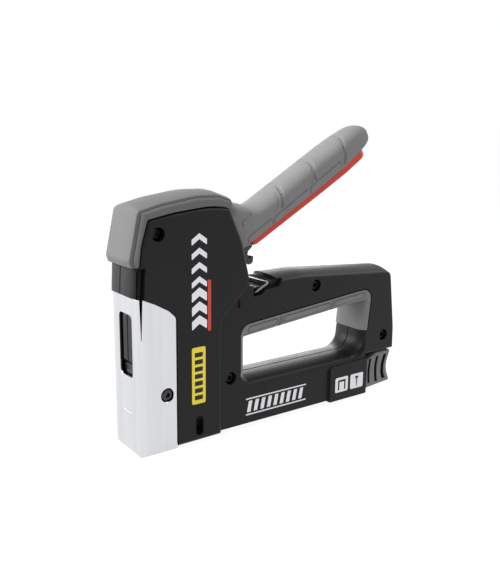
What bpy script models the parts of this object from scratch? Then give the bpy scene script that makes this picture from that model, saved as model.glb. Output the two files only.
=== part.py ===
"""A hand staple gun, built as an assembly of separate pieces.

The base stands on z = 0, the nose points towards -X, the grip towards +X, and the tool is
mirrored about the plane y = 0. Lengths inside the functions are millimetres, measured from
the front of the nose (x), the middle plane (y) and the base (z). Every mesh is written in
metres, shifted so that the whole tool is centred on the world origin.
"""
import math

import bmesh
import bpy
from mathutils import Matrix, Vector

# ---------------------------------------------------------------- driving dimensions, in mm
MM = 0.001
CENTRE_X = 91.1             # distance from the front of the nose to the middle of the tool
GAP = 0.3                   # clearance kept between pieces that rest on each other

TOWER_HALF = 15.6           # half width of the tower block
BODY_HALF = 14.3            # half width of the grip and the magazine housing
NOSE_HALF = 14.5            # half width over the steel nose cover
SHEET = 1.0                 # steel sheet

PIVOT_X, PIVOT_Z = 50.0, 108.0      # lever pivot
LEVER_ANGLE = math.radians(30.0)    # lift of the open lever above the horizontal
LEVER_HALF = 11.0                   # half width of the lever grip
PLATE_IN, PLATE_OUT = 7.6, 9.4      # faces of the two side plates of the lever core
PRONG_ANGLE = math.radians(24.0)    # drop of the lifting prongs at rest
PRONG_LENGTH = 35.0

STRIKER_X = 11.0            # axis of the main spring
LIFT_PIN_X = 19.5
LIFT_PIN_RADIUS = 2.0
LIFT_CLEARANCE = 0.35

BAIL_X, BAIL_Z = 72.5, 77.8         # pivot of the wire bail that locks the lever down
BAIL_TOP_X, BAIL_TOP_Z = 82.0, 82.6
BAIL_HALF = 12.4
BAIL_WIRE = 1.0             # wire radius

CHANNEL_HALF = 7.4          # steel magazine channel
CHANNEL_TOP = 18.6
CHANNEL_FRONT, CHANNEL_REAR = 5.6, 160.0
RAIL_REAR = 162.2
STAPLE_HALF = 5.3           # half width of a staple's crown
STAPLE_TOP = 16.2
STRIP_FRONT, STRIP_REAR = 5.6, 46.0
ROD_Z = 8.0                 # height of the pusher's guide rod

HOUSING_SCREWS = {
    "screw_tower": (11.5, 114.9),
    "screw_frame": (55.6, 32.0),
    "screw_grip": (115.7, 77.2),
    "screw_rear": (174.4, 38.0),
}
NOSE_SCREW = (16.0, 30.8)

ROUND = 16                  # sides of a small turned piece
ARC = 3                     # steps in each rounded corner of an outline

# ---------------------------------------------------------------- outlines, as (x, z, radius)
TOWER = [
    (1.3, 0.8, 0.6), (49.4, 1.2, 1.2), (49.6, 66.0, 12.0), (67.0, 82.0, 2.0),
    (67.6, 86.5, 8.0), (62.6, 106.6, 30.0), (53.9, 125.7, 1.5), (33.0, 126.5, 60.0),
    (5.0, 122.1, 1.5), (0.4, 109.4, 6.0), (-0.8, 98.4, 0.3), (-1.5, 98.2, 0.3),
    (-1.5, 84.0, 0.8), (1.3, 82.9, 0.6),
]
BODY = [
    (44.0, 1.2, 0.3), (160.5, 1.2, 1.2), (160.5, 27.2, 0.4), (186.3, 27.6, 1.2),
    (185.9, 42.0, 30.0), (180.4, 81.8, 6.0), (106.0, 86.7, 30.0), (92.0, 86.4, 6.0),
    (44.0, 86.2, 0.3),
]
BODY_CROWN = [0.0, 0.3, 0.0, 0.5, 0.5, 1.0, 1.0, 1.0, 0.0]
OPENING = [
    (62.3, 25.9, 7.5), (158.6, 26.4, 13.0), (163.0, 70.6, 6.5), (150.0, 70.0, 30.0),
    (62.0, 61.4, 7.5),
]
PAD_THICKNESS = [0.42, 0.42, 1.0, 1.0, 0.42]    # share of full thickness on each side of OPENING
PAD_BELOW = [
    (60.0, 20.0, 0.3), (170.0, 20.0, 0.3), (170.0, 45.5, 0.3), (150.0, 50.0, 0.3),
    (100.0, 33.0, 0.3), (60.0, 33.0, 0.3),
]
CAP = [
    (-1.2, 98.8, 0.5), (0.0, 109.5, 6.0), (4.2, 122.4, 1.5), (33.0, 127.0, 60.0),
    (54.2, 126.2, 1.0), (58.8, 127.2, 0.6), (56.8, 131.4, 3.0), (47.0, 134.8, 14.0),
    (25.0, 133.8, 40.0), (1.4, 128.6, 4.0), (-4.6, 102.5, 3.0), (-3.6, 98.9, 1.0),
]
CAP_CROWN = [0.0, 0.0, 0.0, 0.0, 0.0, 0.9, 0.9, 1.0, 1.0, 1.0, 0.5, 0.0]
CAP_HALF = 15.8
NOSE_SIDE = [
    (0.0, 0.0, 0.4), (21.3, 0.0, 0.4), (21.3, 71.5, 3.0), (16.5, 75.6, 6.0),
    (2.2, 82.4, 0.6), (0.0, 82.0, 0.4),
]
TOWER_HOLLOW = [
    (5.4, 35.7, 0.4), (46.5, 35.7, 2.0), (46.5, 77.0, 6.0), (60.0, 84.6, 4.0),
    (78.0, 84.6, 0.3), (78.0, 131.0, 0.3), (50.2, 131.0, 0.3), (50.2, 124.0, 0.3),
    (33.0, 123.9, 30.0), (6.4, 119.4, 2.0), (3.9, 108.0, 6.0), (3.9, 46.0, 0.3),
]
LEVER_HOLLOW = [
    (37.0, 96.0, 4.0), (58.0, 84.9, 4.0), (79.0, 84.9, 0.3), (79.0, 132.0, 0.3),
    (50.6, 132.0, 0.3), (50.6, 123.4, 0.3), (37.0, 123.4, 3.0),
]
HOOK_WELL = [
    (59.6, 76.6, 3.0), (71.4, 76.4, 2.0), (79.0, 82.6, 2.0), (79.0, 92.0, 0.3), (59.6, 92.0, 0.3),
]
GRIP_HOLLOW = [
    (97.0, 68.2, 2.0), (152.0, 73.6, 6.0), (166.2, 73.0, 4.0), (166.2, 31.0, 1.0),
    (182.2, 31.0, 1.0), (176.4, 76.2, 3.0), (97.0, 79.2, 2.0),
]
BAIL_FLANK = [
    (68.6, 80.4, 0.2), (86.0, 80.4, 2.0), (92.0, 84.0, 0.5), (92.0, 95.0, 0.2),
    (68.6, 95.0, 0.2),
]
BAIL_LEG_POCKET = [
    (70.0, 75.6, 1.0), (76.0, 75.6, 1.0), (86.0, 81.0, 0.3), (86.0, 88.0, 0.3),
    (70.0, 88.0, 0.3),
]
KNOB = [
    (162.6, 3.2, 0.6), (184.3, 4.9, 0.8), (180.0, 15.0, 14.0), (184.2, 26.3, 1.2),
    (171.0, 26.2, 5.0), (162.6, 22.4, 2.0),
]
KNOB_HALF = 12.6

# Lever shapes are given along (u) and across (v) the lever, measured from its pivot.
LEVER_GRIP = [
    (17.4, -12.6, 1.0), (115.3, -12.6, 0.4), (116.2, -13.8, 1.0), (122.8, -13.0, 3.5),
    (126.2, -7.6, 6.0), (121.8, 1.4, 8.0), (110.0, 3.4, 20.0), (31.0, 2.0, 4.0),
    (24.5, 7.2, 4.0), (20.4, 10.6, 1.5), (8.5, 11.2, 2.0), (8.0, -6.0, 5.0),
]
LEVER_GRIP_CROWN = [0.0, 0.0, 0.3, 1.0, 1.0, 1.0, 1.0, 1.0, 1.0, 0.6, 0.0, 0.0]
LEVER_GRIP_HOLLOW = [
    (2.0, -20.0, 0.3), (106.4, -20.0, 0.3), (106.4, -3.6, 3.0), (101.0, -1.0, 3.0),
    (13.4, -1.0, 2.0), (11.0, 9.2, 0.3), (2.0, 9.2, 0.3),
]
LEVER_INSERT = [
    (18.4, -16.9, 1.2), (74.0, -17.2, 60.0), (108.0, -15.6, 4.0), (114.8, -14.8, 0.8),
    (114.8, -12.9, 0.4), (18.0, -12.9, 1.2),
]
INSERT_HALF = 10.2
LEVER_PLATE = [
    (14.0, -12.0, 3.0), (104.0, -12.0, 2.0), (106.0, -5.0, 2.0), (100.0, -1.4, 2.0),
    (12.8, -1.4, 2.0), (9.2, 6.6, 4.0), (-5.0, 8.0, 5.0), (-9.0, -3.0, 6.0), (2.0, -10.4, 6.0),
]
LEVER_HOOK = [
    (14.2, -16.2, 1.0), (22.6, -18.9, 0.8), (22.2, -20.7, 0.8), (17.6, -20.4, 2.0),
    (15.4, -23.4, 2.0), (16.6, -26.6, 1.5), (18.9, -26.2, 0.8), (20.7, -27.6, 0.8),
    (20.2, -29.4, 0.8), (15.0, -29.8, 3.0), (11.6, -24.0, 5.0), (12.6, -16.4, 1.0),
]
HOOK_HALF = 4.2
HOOK_PIN = (11.9, -7.5)     # the hook's cross pin


# ---------------------------------------------------------------- materials
def material(name, colour, roughness, metallic=0.0):
    """A plain surface finish."""
    made = bpy.data.materials.new(name)
    made.use_nodes = True
    shader = made.node_tree.nodes["Principled BSDF"]
    shader.inputs["Base Color"].default_value = (*colour, 1.0)
    shader.inputs["Roughness"].default_value = roughness
    shader.inputs["Metallic"].default_value = metallic
    return made


def make_materials():
    return {
        "black": material("black_nylon", (0.022, 0.022, 0.023), 0.45),
        "grey": material("grey_rubber", (0.20, 0.20, 0.205), 0.62),
        "red": material("red_plastic", (0.62, 0.045, 0.02), 0.4),
        "chrome": material("chrome_plate", (0.82, 0.82, 0.83), 0.08, 1.0),
        "steel": material("bright_steel", (0.52, 0.52, 0.53), 0.3, 1.0),
        "dark": material("dark_steel", (0.05, 0.05, 0.055), 0.4, 1.0),
        "bumper": material("black_rubber", (0.015, 0.015, 0.015), 0.8),
    }


# ---------------------------------------------------------------- shape tools
def world(x, y, z):
    """Millimetres from the nose to metres in the world."""
    return Vector(((x - CENTRE_X) * MM, y * MM, z * MM))


def lever_point(u, v):
    """A point along and across the open lever, as (x, z)."""
    cos_a, sin_a = math.cos(LEVER_ANGLE), math.sin(LEVER_ANGLE)
    return PIVOT_X + u * cos_a - v * sin_a, PIVOT_Z + u * sin_a + v * cos_a


def lever_corners(corners):
    """Lever corners (u, v, radius) as side-view corners (x, z, radius)."""
    return [(*lever_point(u, v), radius) for u, v, radius in corners]


def shifted_lines(corners, insets):
    """Each side of a polygon as (point, direction), moved inwards by its own inset."""
    lines = []
    for i, (x, z, _) in enumerate(corners):
        next_x, next_z, _ = corners[(i + 1) % len(corners)]
        along = Vector((next_x - x, next_z - z)).normalized()
        inwards = Vector((-along.y, along.x))
        lines.append((Vector((x, z)) + inwards * insets[i], along))
    return lines


def crossing(line_a, line_b):
    """Where two lines (point, direction) cross."""
    (point_a, along_a), (point_b, along_b) = line_a, line_b
    cross = along_a.x * along_b.y - along_a.y * along_b.x
    step = point_b - point_a
    reach = (step.x * along_b.y - step.y * along_b.x) / cross
    return point_a + along_a * reach


def outline(corners, inset=0.0, crown=0.0, weights=None, steps=ARC):
    """Points of an anticlockwise outline with rounded corners, moved inwards.

    Every side moves inwards by inset, and by crown times its own weight.
    """
    weights = weights or [0.0] * len(corners)
    insets = [inset + crown * weight for weight in weights]
    lines = shifted_lines(corners, insets)
    points = []
    for i, (_, _, radius) in enumerate(corners):
        before, after = lines[i - 1], lines[i]
        corner = crossing(before, after)
        turn = math.atan2(
            before[1].x * after[1].y - before[1].y * after[1].x, before[1].dot(after[1])
        )
        mean_inset = (insets[i - 1] + insets[i]) / 2
        fitted = max(radius - math.copysign(mean_inset, turn), 0.15)
        setback = fitted * math.tan(abs(turn) / 2)
        start = corner - before[1] * setback
        side = math.copysign(1.0, turn)
        centre = start + Vector((-before[1].y, before[1].x)) * fitted * side
        arm = start - centre
        for step in range(steps + 1):
            point = centre + Matrix.Rotation(turn * step / steps, 2) @ arm
            points.append((point.x, point.y))
    return points


def loft(name, rings):
    """A closed solid through matching rings of world points, capped at both ends."""
    mesh = bmesh.new()
    rows = [[mesh.verts.new(point) for point in ring] for ring in rings]
    for row, following in zip(rows, rows[1:]):
        for i in range(len(row)):
            j = (i + 1) % len(row)
            mesh.faces.new((row[i], row[j], following[j], following[i]))
    mesh.faces.new(rows[0])
    mesh.faces.new(list(reversed(rows[-1])))
    bmesh.ops.recalc_face_normals(mesh, faces=mesh.faces)
    data = bpy.data.meshes.new(name)
    mesh.to_mesh(data)
    mesh.free()
    made = bpy.data.objects.new(name, data)
    bpy.context.scene.collection.objects.link(made)
    return made


def plate(name, corners, y_low, y_high, steps=ARC):
    """A side-view outline made solid between two y values."""
    points = outline(corners, steps=steps)
    return loft(name, [[world(x, y, z) for x, z in points] for y in (y_low, y_high)])


def box(name, x_range, y_range, z_range):
    """A plain block, for simple pieces and for cutting."""
    (x0, x1), (z0, z1) = x_range, z_range
    corners = [(x0, z0), (x1, z0), (x1, z1), (x0, z1)]
    return loft(name, [[world(x, y, z) for x, z in corners] for y in y_range])


def bar(name, section, x_low, x_high):
    """A (y, z) section made solid between two x values."""
    return loft(name, [[world(x, y, z) for y, z in section] for x in (x_low, x_high)])


def ring_points(place, axis, radius, sides):
    """A circle about an axis, as world points."""
    x, y, z = place
    points = []
    for i in range(sides):
        a = radius * math.cos(2 * math.pi * i / sides)
        b = radius * math.sin(2 * math.pi * i / sides)
        shift = {"x": (0, a, b), "y": (b, 0, a), "z": (a, b, 0)}[axis]
        points.append(world(x + shift[0], y + shift[1], z + shift[2]))
    return points


def turned(name, place, axis, profile, sides=ROUND):
    """A solid turned about an axis through place, from (distance along, radius) pairs."""
    x, y, z = place
    rings = []
    for along, radius in profile:
        shift = {"x": (along, 0, 0), "y": (0, along, 0), "z": (0, 0, along)}[axis]
        centre = (x + shift[0], y + shift[1], z + shift[2])
        rings.append(ring_points(centre, axis, radius, sides))
    return loft(name, rings)


def wire(name, points, radius, sides=8):
    """A round wire along world points, with flat ends."""
    rings = []
    normal = None
    for i, point in enumerate(points):
        ahead = points[min(i + 1, len(points) - 1)]
        behind = points[max(i - 1, 0)]
        along = (ahead - behind).normalized()
        if normal is None:
            normal = along.orthogonal().normalized()
        normal = (normal - along * normal.dot(along)).normalized()
        side = along.cross(normal)
        ring = []
        for k in range(sides):
            angle = 2 * math.pi * k / sides
            ring.append(point + (normal * math.cos(angle) + side * math.sin(angle)) * radius * MM)
        rings.append(ring)
    return loft(name, rings)


def coil(name, start, axis, length, radius, wire_radius, turns, per_turn, sides=6):
    """A compression spring from start along an axis."""
    x, y, z = start
    points = []
    count = int(turns * per_turn)
    for i in range(count + 1):
        angle = 2 * math.pi * i / per_turn
        along = wire_radius + (length - 2 * wire_radius) * i / count
        a, b = radius * math.cos(angle), radius * math.sin(angle)
        shift = {"x": (along, a, b), "z": (a, b, along)}[axis]
        points.append(world(x + shift[0], y + shift[1], z + shift[2]))
    return wire(name, points, wire_radius, sides)


def combine(target, other, operation):
    """Cut other from target, or join it on, and keep only the result."""
    modifier = target.modifiers.new(operation.lower(), "BOOLEAN")
    modifier.operation = operation
    modifier.object = other
    modifier.solver = "EXACT"
    graph = bpy.context.evaluated_depsgraph_get()
    result = bpy.data.meshes.new_from_object(target.evaluated_get(graph))
    target.modifiers.clear()
    target.data = result
    bpy.data.objects.remove(other)


def cut(target, *cutters):
    for cutter in cutters:
        combine(target, cutter, "DIFFERENCE")


def join(target, *others):
    for other in others:
        combine(target, other, "UNION")


def finish(made, surface):
    """Give a piece its finish and smooth shading between its sharp edges."""
    clean = bmesh.new()
    clean.from_mesh(made.data)
    bmesh.ops.remove_doubles(clean, verts=clean.verts, dist=0.0000005)
    bmesh.ops.dissolve_degenerate(clean, edges=clean.edges, dist=0.0000005)
    clean.to_mesh(made.data)
    clean.free()
    made.data.materials.clear()
    made.data.materials.append(surface)
    made.data.shade_smooth()
    made.data.set_sharp_from_angle(angle=math.radians(35))
    return made


def hang_on(pieces, holder_name, place):
    """Parent pieces to an empty on their joint's axis, leaving them where they are."""
    holder = bpy.data.objects.new(holder_name, None)
    holder.location = world(*place)
    bpy.context.scene.collection.objects.link(holder)
    bpy.context.view_layer.update()
    for piece in pieces:
        piece.parent = holder
        piece.matrix_parent_inverse = holder.matrix_world.inverted()


def mirrored(rows):
    """Rows (y, value) for y >= 0, continued to the other side of the middle plane."""
    return [(-y, value) for y, value in reversed(rows) if y > 0.0] + rows


# ---------------------------------------------------------------- housing
def rounded_side(name, corners, side, half, edge, crown=0.0, weights=None):
    """Half of a body, from the parting plane out to a rounded outer edge.

    With a crown, the weighted sides fall away from the parting plane in a shallow curve.
    """
    rows = [(GAP / 2, 0.0, 0.0)]
    if crown:
        for part in (0.35, 0.6, 0.8):
            rows.append((part * (half - edge), 0.0, crown * part ** 2))
    for step in range(3):
        angle = math.pi / 4 * step
        rows.append((half - edge * (1 - math.sin(angle)), edge * (1 - math.cos(angle)), crown))
    rings = []
    for y, inset, fall in rows:
        points = outline(corners, inset, fall, weights)
        rings.append([world(x, side * y, z) for x, z in points])
    return loft(name, rings)


def opening_cutter(side):
    """The finger opening, which narrows towards the parting plane."""
    rings = []
    for y, inset in ((-1.0, 3.1), (5.0, 3.1), (9.0, 2.1), (12.0, 0.9), (16.0, -1.2)):
        rings.append([world(x, side * y, z) for x, z in outline(OPENING, inset)])
    return loft("opening", rings)


def hollow_cutters(side):
    """The spaces inside one half, with the screw bosses left standing."""
    tower = plate("tower_space", TOWER_HOLLOW, side * -1.0, side * 11.5)
    lever = plate("lever_space", LEVER_HOLLOW, side * -1.2, side * 13.1)
    x, z = HOUSING_SCREWS["screw_tower"]
    cut(tower, turned("boss", (x, side * -2.0, z), "y", [(0.0, 4.3), (side * 20.0, 4.3)]))
    grip = plate("grip_space", GRIP_HOLLOW, side * -1.0, side * 11.8)
    for name in ("screw_grip", "screw_rear"):
        x, z = HOUSING_SCREWS[name]
        cut(grip, turned("boss", (x, side * -2.0, z), "y", [(0.0, 4.3), (side * 20.0, 4.3)]))
    hook = plate("hook_well", HOOK_WELL, side * -1.1, side * (HOOK_HALF + 0.6))
    magazine = box("magazine_space", (5.2, 166.0), (side * -1.0, side * 8.2), (-3.0, 19.6))
    driver = box("driver_space", (-4.0, 5.4), (side * -1.0, side * 11.4), (-3.0, 46.4))
    return [tower, lever, hook, grip, magazine, driver]


def bail_recess_cutters(side):
    """The recess in front of the grip that the wire bail lies in."""
    front = box("bail_front", (68.6, 83.4), (side * -1.0, side * 20.0), (80.4, 95.0))
    flank = plate("bail_flank", BAIL_FLANK, side * 7.5, side * 20.0)
    leg = plate("bail_leg_pocket", BAIL_LEG_POCKET, side * (BAIL_HALF - 1.5), side * 20.0)
    hole = turned("bail_hole", (BAIL_X, side * 8.0, BAIL_Z), "y", [(0.0, 1.35), (side * 4.0, 1.35)])
    return [front, flank, leg, hole]


def screw_hole_cutters(side):
    """Clearance holes and head recesses on the left, pilot holes on the right."""
    cutters = []
    for x, z in HOUSING_SCREWS.values():
        if side < 0:
            profile = [(1.0, 1.9), (-10.4, 1.9), (-10.4, 3.5), (-20.0, 3.5)]
        else:
            profile = [(-1.0, 1.75), (10.5, 1.75)]
        cutters.append(turned("screw_hole", (x, 0.0, z), "y", profile))
    x, z = NOSE_SCREW
    cutters.append(turned("nose_hole", (x, 0.0, z), "y", [(side * 7.0, 1.75), (side * 14.0, 1.75)]))
    cutters.append(
        turned("nose_sink", (x, 0.0, z), "y", [(side * 12.0, 3.5), (side * 17.0, 3.5)])
    )
    return cutters


def nose_recess_cutters(side):
    """The step that the steel nose cover sits in."""
    grown = outline(NOSE_SIDE, -GAP)
    rings = [[world(x, side * y, z) for x, z in grown] for y in (NOSE_HALF - SHEET - GAP, 20.0)]
    return [loft("nose_step", rings)]


def magazine_panel_cutters(side):
    """The shallow panel on the magazine's side, between the tower and the raised block."""
    panel = [(51.5, 2.9, 0.8), (127.4, 2.9, 0.8), (127.4, 23.4, 0.8), (51.5, 23.2, 0.8)]
    return [plate("side_panel", panel, side * (BODY_HALF - 0.6), side * 20.0)]


def make_housing_half(name, side, surface):
    """One moulded half: the tower block, the grip and the magazine housing in one piece."""
    half = rounded_side(name, TOWER, side, TOWER_HALF, 1.8)
    frame = rounded_side("frame", BODY, side, BODY_HALF, 1.3, 3.4, BODY_CROWN)
    cut(frame, opening_cutter(side))
    raised = [(130.4, 1.7, 0.8), (160.2, 1.7, 0.8), (160.2, 25.4, 0.8), (130.4, 25.4, 0.8)]
    join(frame, plate("raised_block", raised, side * 12.0, side * (BODY_HALF + 1.1)))
    join(half, frame)
    cut(half, *hollow_cutters(side))
    cut(half, *bail_recess_cutters(side))
    cut(half, *screw_hole_cutters(side))
    cut(half, *nose_recess_cutters(side))
    cut(half, *magazine_panel_cutters(side))
    socket = turned(
        "pivot_socket", (PIVOT_X, 0.0, PIVOT_Z), "y", [(side * 12.0, 3.3), (side * 14.3, 3.3)]
    )
    slot = [(32.8, 4.4, 2.0), (37.2, 4.4, 2.0), (37.2, 15.2, 2.0), (32.8, 15.2, 2.0)]
    cut(half, socket, plate("view_slot", slot, side * 7.0, side * 20.0))
    return finish(half, surface)


def make_nose_cover(surface):
    """The bent steel cover over the front and both sides of the nose."""
    cover = plate("nose_cover", NOSE_SIDE, -NOSE_HALF, NOSE_HALF)
    inner = box("inner", (SHEET, 40.0), (-NOSE_HALF + SHEET, NOSE_HALF - SHEET), (-5.0, 95.0))
    window = [(-7.2, 40.6), (7.2, 40.6), (7.2, 73.6), (-7.2, 73.6)]
    x, z = NOSE_SCREW
    hole = turned("hole", (x, -20.0, z), "y", [(0.0, 3.7), (40.0, 3.7)])
    cut(cover, inner, bar("window", window, -3.0, 3.0), hole)
    return finish(cover, surface)


def make_top_cap(surface):
    """The soft cap over the top and the upper front of the tower, rounded all round."""
    rings = []
    for share, fall in mirrored([(0.6, 0.7), (0.85, 1.9), (0.96, 3.1), (1.0, 4.4)]):
        points = outline(CAP, 0.0, fall, CAP_CROWN)
        rings.append([world(x, share * CAP_HALF, z) for x, z in points])
    return finish(loft("top_cap", rings), surface)


def make_grip_pad(surface):
    """The soft pad that lines the front, the top and the upper rear of the finger opening."""
    back = mirrored([(5.0, 3.5), (9.0, 2.5), (12.0, 1.3), (13.2, 0.8)])
    rings = [[world(x, y, z) for x, z in outline(OPENING, inset)] for y, inset in back]
    pad = loft("grip_pad", rings)
    front = mirrored([(0.0, 9.3), (7.0, 8.6), (11.0, 6.6), (13.2, 4.0), (16.0, 3.2)])
    rings = []
    for y, thickness in front:
        points = outline(OPENING, 0.0, thickness, PAD_THICKNESS)
        rings.append([world(x, y, z) for x, z in points])
    cut(pad, loft("pad_hole", rings), plate("pad_below", PAD_BELOW, -20.0, 20.0))
    return finish(pad, surface)


def make_screw(name, place, side, head_top, head_bottom, tip, surface):
    """A pan-head screw along y with a six-sided socket. Distances grow towards the head."""
    x, z = place
    profile = [
        (side * tip, 0.6), (side * (tip + 1.5), 1.45), (side * head_bottom, 1.45),
        (side * head_bottom, 3.1), (side * (head_top - 0.7), 3.1), (side * head_top, 2.3),
    ]
    made = turned(name, (x, 0.0, z), "y", profile)
    reach = [(side * (head_top - 1.3), 1.35), (side * (head_top + 2.0), 1.35)]
    cut(made, turned("socket", (x, 0.0, z), "y", reach, 6))
    return finish(made, surface)


def make_fasteners(surface):
    made = [
        make_screw(name, place, -1, 12.9, 10.8, -10.0, surface)
        for name, place in HOUSING_SCREWS.items()
    ]
    for name, side in (("nose_screw_left", -1), ("nose_screw_right", 1)):
        made.append(make_screw(name, NOSE_SCREW, side, 14.3, 12.4, 8.6, surface))
    return made


# ---------------------------------------------------------------- lever
def make_lever_core(surface):
    """The steel channel of the lever: two side plates with lifting prongs, and a web."""
    core = plate("lever_core", lever_corners(LEVER_PLATE), -PLATE_OUT, PLATE_OUT)
    inner = [
        (-30.0, -30.0, 0.3), (130.0, -30.0, 0.3), (130.0, -2.0, 0.3), (14.6, -2.0, 1.0),
        (12.0, 14.0, 0.3), (-30.0, 14.0, 0.3),
    ]
    cut(core, plate("between", lever_corners(inner), -PLATE_IN, PLATE_IN))
    for side in (-1, 1):
        join(core, make_prong(side))
    cut(core, turned("pin_hole", (PIVOT_X, -20.0, PIVOT_Z), "y", [(0.0, 3.3), (40.0, 3.3)]))
    return finish(core, surface)


def make_prong(side):
    """One lifting prong, whose upper edge points at the pivot."""
    back = Vector((-math.cos(PRONG_ANGLE), -math.sin(PRONG_ANGLE)))
    down = Vector((math.sin(PRONG_ANGLE), -math.cos(PRONG_ANGLE)))
    pivot = Vector((PIVOT_X, PIVOT_Z))
    tip = pivot + back * PRONG_LENGTH
    low_tip = tip + down * 4.5
    root = pivot + down * 8.0
    corners = [
        (tip.x, tip.y, 0.8), (low_tip.x, low_tip.y, 1.5), (root.x, root.y, 1.0),
        (pivot.x, pivot.y, 0.3),
    ]
    return plate("prong", corners, side * PLATE_IN, side * PLATE_OUT)


def make_lever_grip(surface):
    """The soft cover of the lever, open underneath for the core and the insert."""
    corners = lever_corners(LEVER_GRIP)
    rings = []
    for share, fall in mirrored([(0.35, 0.3), (0.7, 1.6), (0.9, 3.6), (1.0, 6.0)]):
        points = outline(corners, 0.0, fall, LEVER_GRIP_CROWN)
        rings.append([world(x, share * LEVER_HALF, z) for x, z in points])
    grip = loft("lever_grip", rings)
    reach = PLATE_OUT + GAP
    cut(grip, plate("core_space", lever_corners(LEVER_GRIP_HOLLOW), -reach, reach))
    cut(grip, turned("hub_space", (PIVOT_X, -20.0, PIVOT_Z), "y", [(0.0, 9.8), (40.0, 9.8)]))
    return finish(grip, surface)


def make_lever_insert(surface):
    """The hard strip under the lever."""
    corners = lever_corners(LEVER_INSERT)
    rings = []
    for share, fall in mirrored([(0.94, 0.15), (1.0, 0.9)]):
        rings.append([world(x, share * INSERT_HALF, z) for x, z in outline(corners, fall)])
    return finish(loft("lever_insert", rings), surface)


def make_lever_hook(surface):
    """The hook under the lever that the wire bail catches."""
    hook = plate("lever_hook", lever_corners(LEVER_HOOK), -HOOK_HALF, HOOK_HALF)
    tongue = [(9.4, -19.5, 0.5), (14.0, -19.5, 0.5), (14.0, -2.4, 0.5), (9.4, -2.4, 0.5)]
    join(hook, plate("tongue", lever_corners(tongue), -HOOK_HALF, HOOK_HALF))
    x, z = lever_point(*HOOK_PIN)
    cut(hook, turned("hole", (x, -20.0, z), "y", [(0.0, 1.6), (40.0, 1.6)]))
    return finish(hook, surface)


def make_hook_rivet(surface):
    """The cross pin that holds the hook between the side plates."""
    x, z = lever_point(*HOOK_PIN)
    reach = PLATE_IN - GAP
    return finish(turned("hook_pin", (x, 0.0, z), "y", [(-reach, 1.3), (reach, 1.3)], 14), surface)


def make_pivot(surface, bush_surface):
    """The pivot pin and its two bushes."""
    place = (PIVOT_X, 0.0, PIVOT_Z)
    pin = turned("pivot_pin", place, "y", [(-14.0, 2.6), (-13.6, 3.0), (13.6, 3.0), (14.0, 2.6)], 24)
    made = [finish(pin, surface)]
    for name, side in (("pivot_bush_left", -1), ("pivot_bush_right", 1)):
        bush = turned(name, place, "y", [(side * 9.9, 5.6), (side * 12.9, 5.6)], 24)
        cut(bush, turned("bore", place, "y", [(side * 9.0, 3.3), (side * 14.0, 3.3)], 24))
        made.append(finish(bush, bush_surface))
    return made


def make_return_spring(surface):
    """The torsion spring about the pivot that lifts the lever."""
    radius, wire_radius, turns, per_turn = 5.4, 0.8, 4, 12
    points = []
    low = lever_point(-4.0, -5.4)
    points.append(world(low[0] - 16.0, -4.6, low[1] - 3.0))
    for i in range(turns * per_turn + 1):
        angle = -math.pi / 2 - 2 * math.pi * i / per_turn
        y = -4.6 + 9.2 * i / (turns * per_turn)
        points.append(world(PIVOT_X + radius * math.cos(angle), y, PIVOT_Z + radius * math.sin(angle)))
    return finish(wire("lever_return_spring", points, wire_radius, 5), surface)


# ---------------------------------------------------------------- striker
def lift_pin_height():
    """Height of the lift pins that rest just above the prongs."""
    drop = (LIFT_PIN_X - PIVOT_X) * math.tan(PRONG_ANGLE)
    return PIVOT_Z + drop + (LIFT_PIN_RADIUS + LIFT_CLEARANCE) / math.cos(PRONG_ANGLE)


def make_striker(surface, blade_surface):
    """The carriage that the spring drives down, its blade and its two lift pins."""
    carriage = box("striker_carriage", (5.4, 23.0), (-7.0, 7.0), (44.0, 51.4))
    join(carriage, box("back", (18.0, 22.6), (-6.9, 6.9), (48.0, 99.4)))
    cut(carriage, box("back_window", (10.0, 30.0), (-4.2, 4.2), (62.0, 88.0)))
    height = lift_pin_height()
    for side in (-1, 1):
        place = (LIFT_PIN_X, side * 4.9, height)
        cut(carriage, turned("pin_hole", place, "y", [(0.0, 2.2), (side * 6.0, 2.2)], 16))
    made = [finish(carriage, surface)]
    for name, side in (("lift_pin_left", -1), ("lift_pin_right", 1)):
        place = (LIFT_PIN_X, side * 5.2, height)
        profile = [(0.0, LIFT_PIN_RADIUS), (side * 4.7, LIFT_PIN_RADIUS)]
        made.append(finish(turned(name, place, "y", profile, 16), blade_surface))
    blade = box("driver_blade", (3.9, 5.1), (-6.2, 6.2), (2.0, 51.2))
    cut(blade, box("blade_notch", (3.0, 6.0), (-1.2, 1.2), (-1.0, 8.0)))
    made.append(finish(blade, blade_surface))
    return made


def make_main_spring(surface):
    """The striker's compression spring."""
    start = (STRIKER_X, 0.0, 51.7)
    return finish(coil("main_spring", start, "z", 54.4, 4.5, 0.95, 8.5, 10, 5), surface)


def make_spring_seat(surface):
    """The cup that the main spring pushes up against."""
    profile = [(0.0, 6.2), (1.6, 6.2), (2.8, 4.6), (3.6, 4.6)]
    return finish(turned("spring_seat", (STRIKER_X, 0.0, 106.4), "z", profile), surface)


def make_bumper(surface):
    """The rubber block that stops the striker."""
    corners = [(5.8, 36.0, 0.6), (22.6, 36.0, 0.6), (22.6, 43.6, 1.2), (5.8, 43.6, 1.2)]
    return finish(plate("bumper", corners, -6.8, 6.8), surface)


# ---------------------------------------------------------------- magazine
def make_driver_guide(surface):
    """The steel face plate that the blade runs against, with a dished lower edge."""
    guide = box("driver_guide", (2.5, 3.5), (-11.0, 11.0), (0.4, 46.0))
    return finish(guide, surface)


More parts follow.
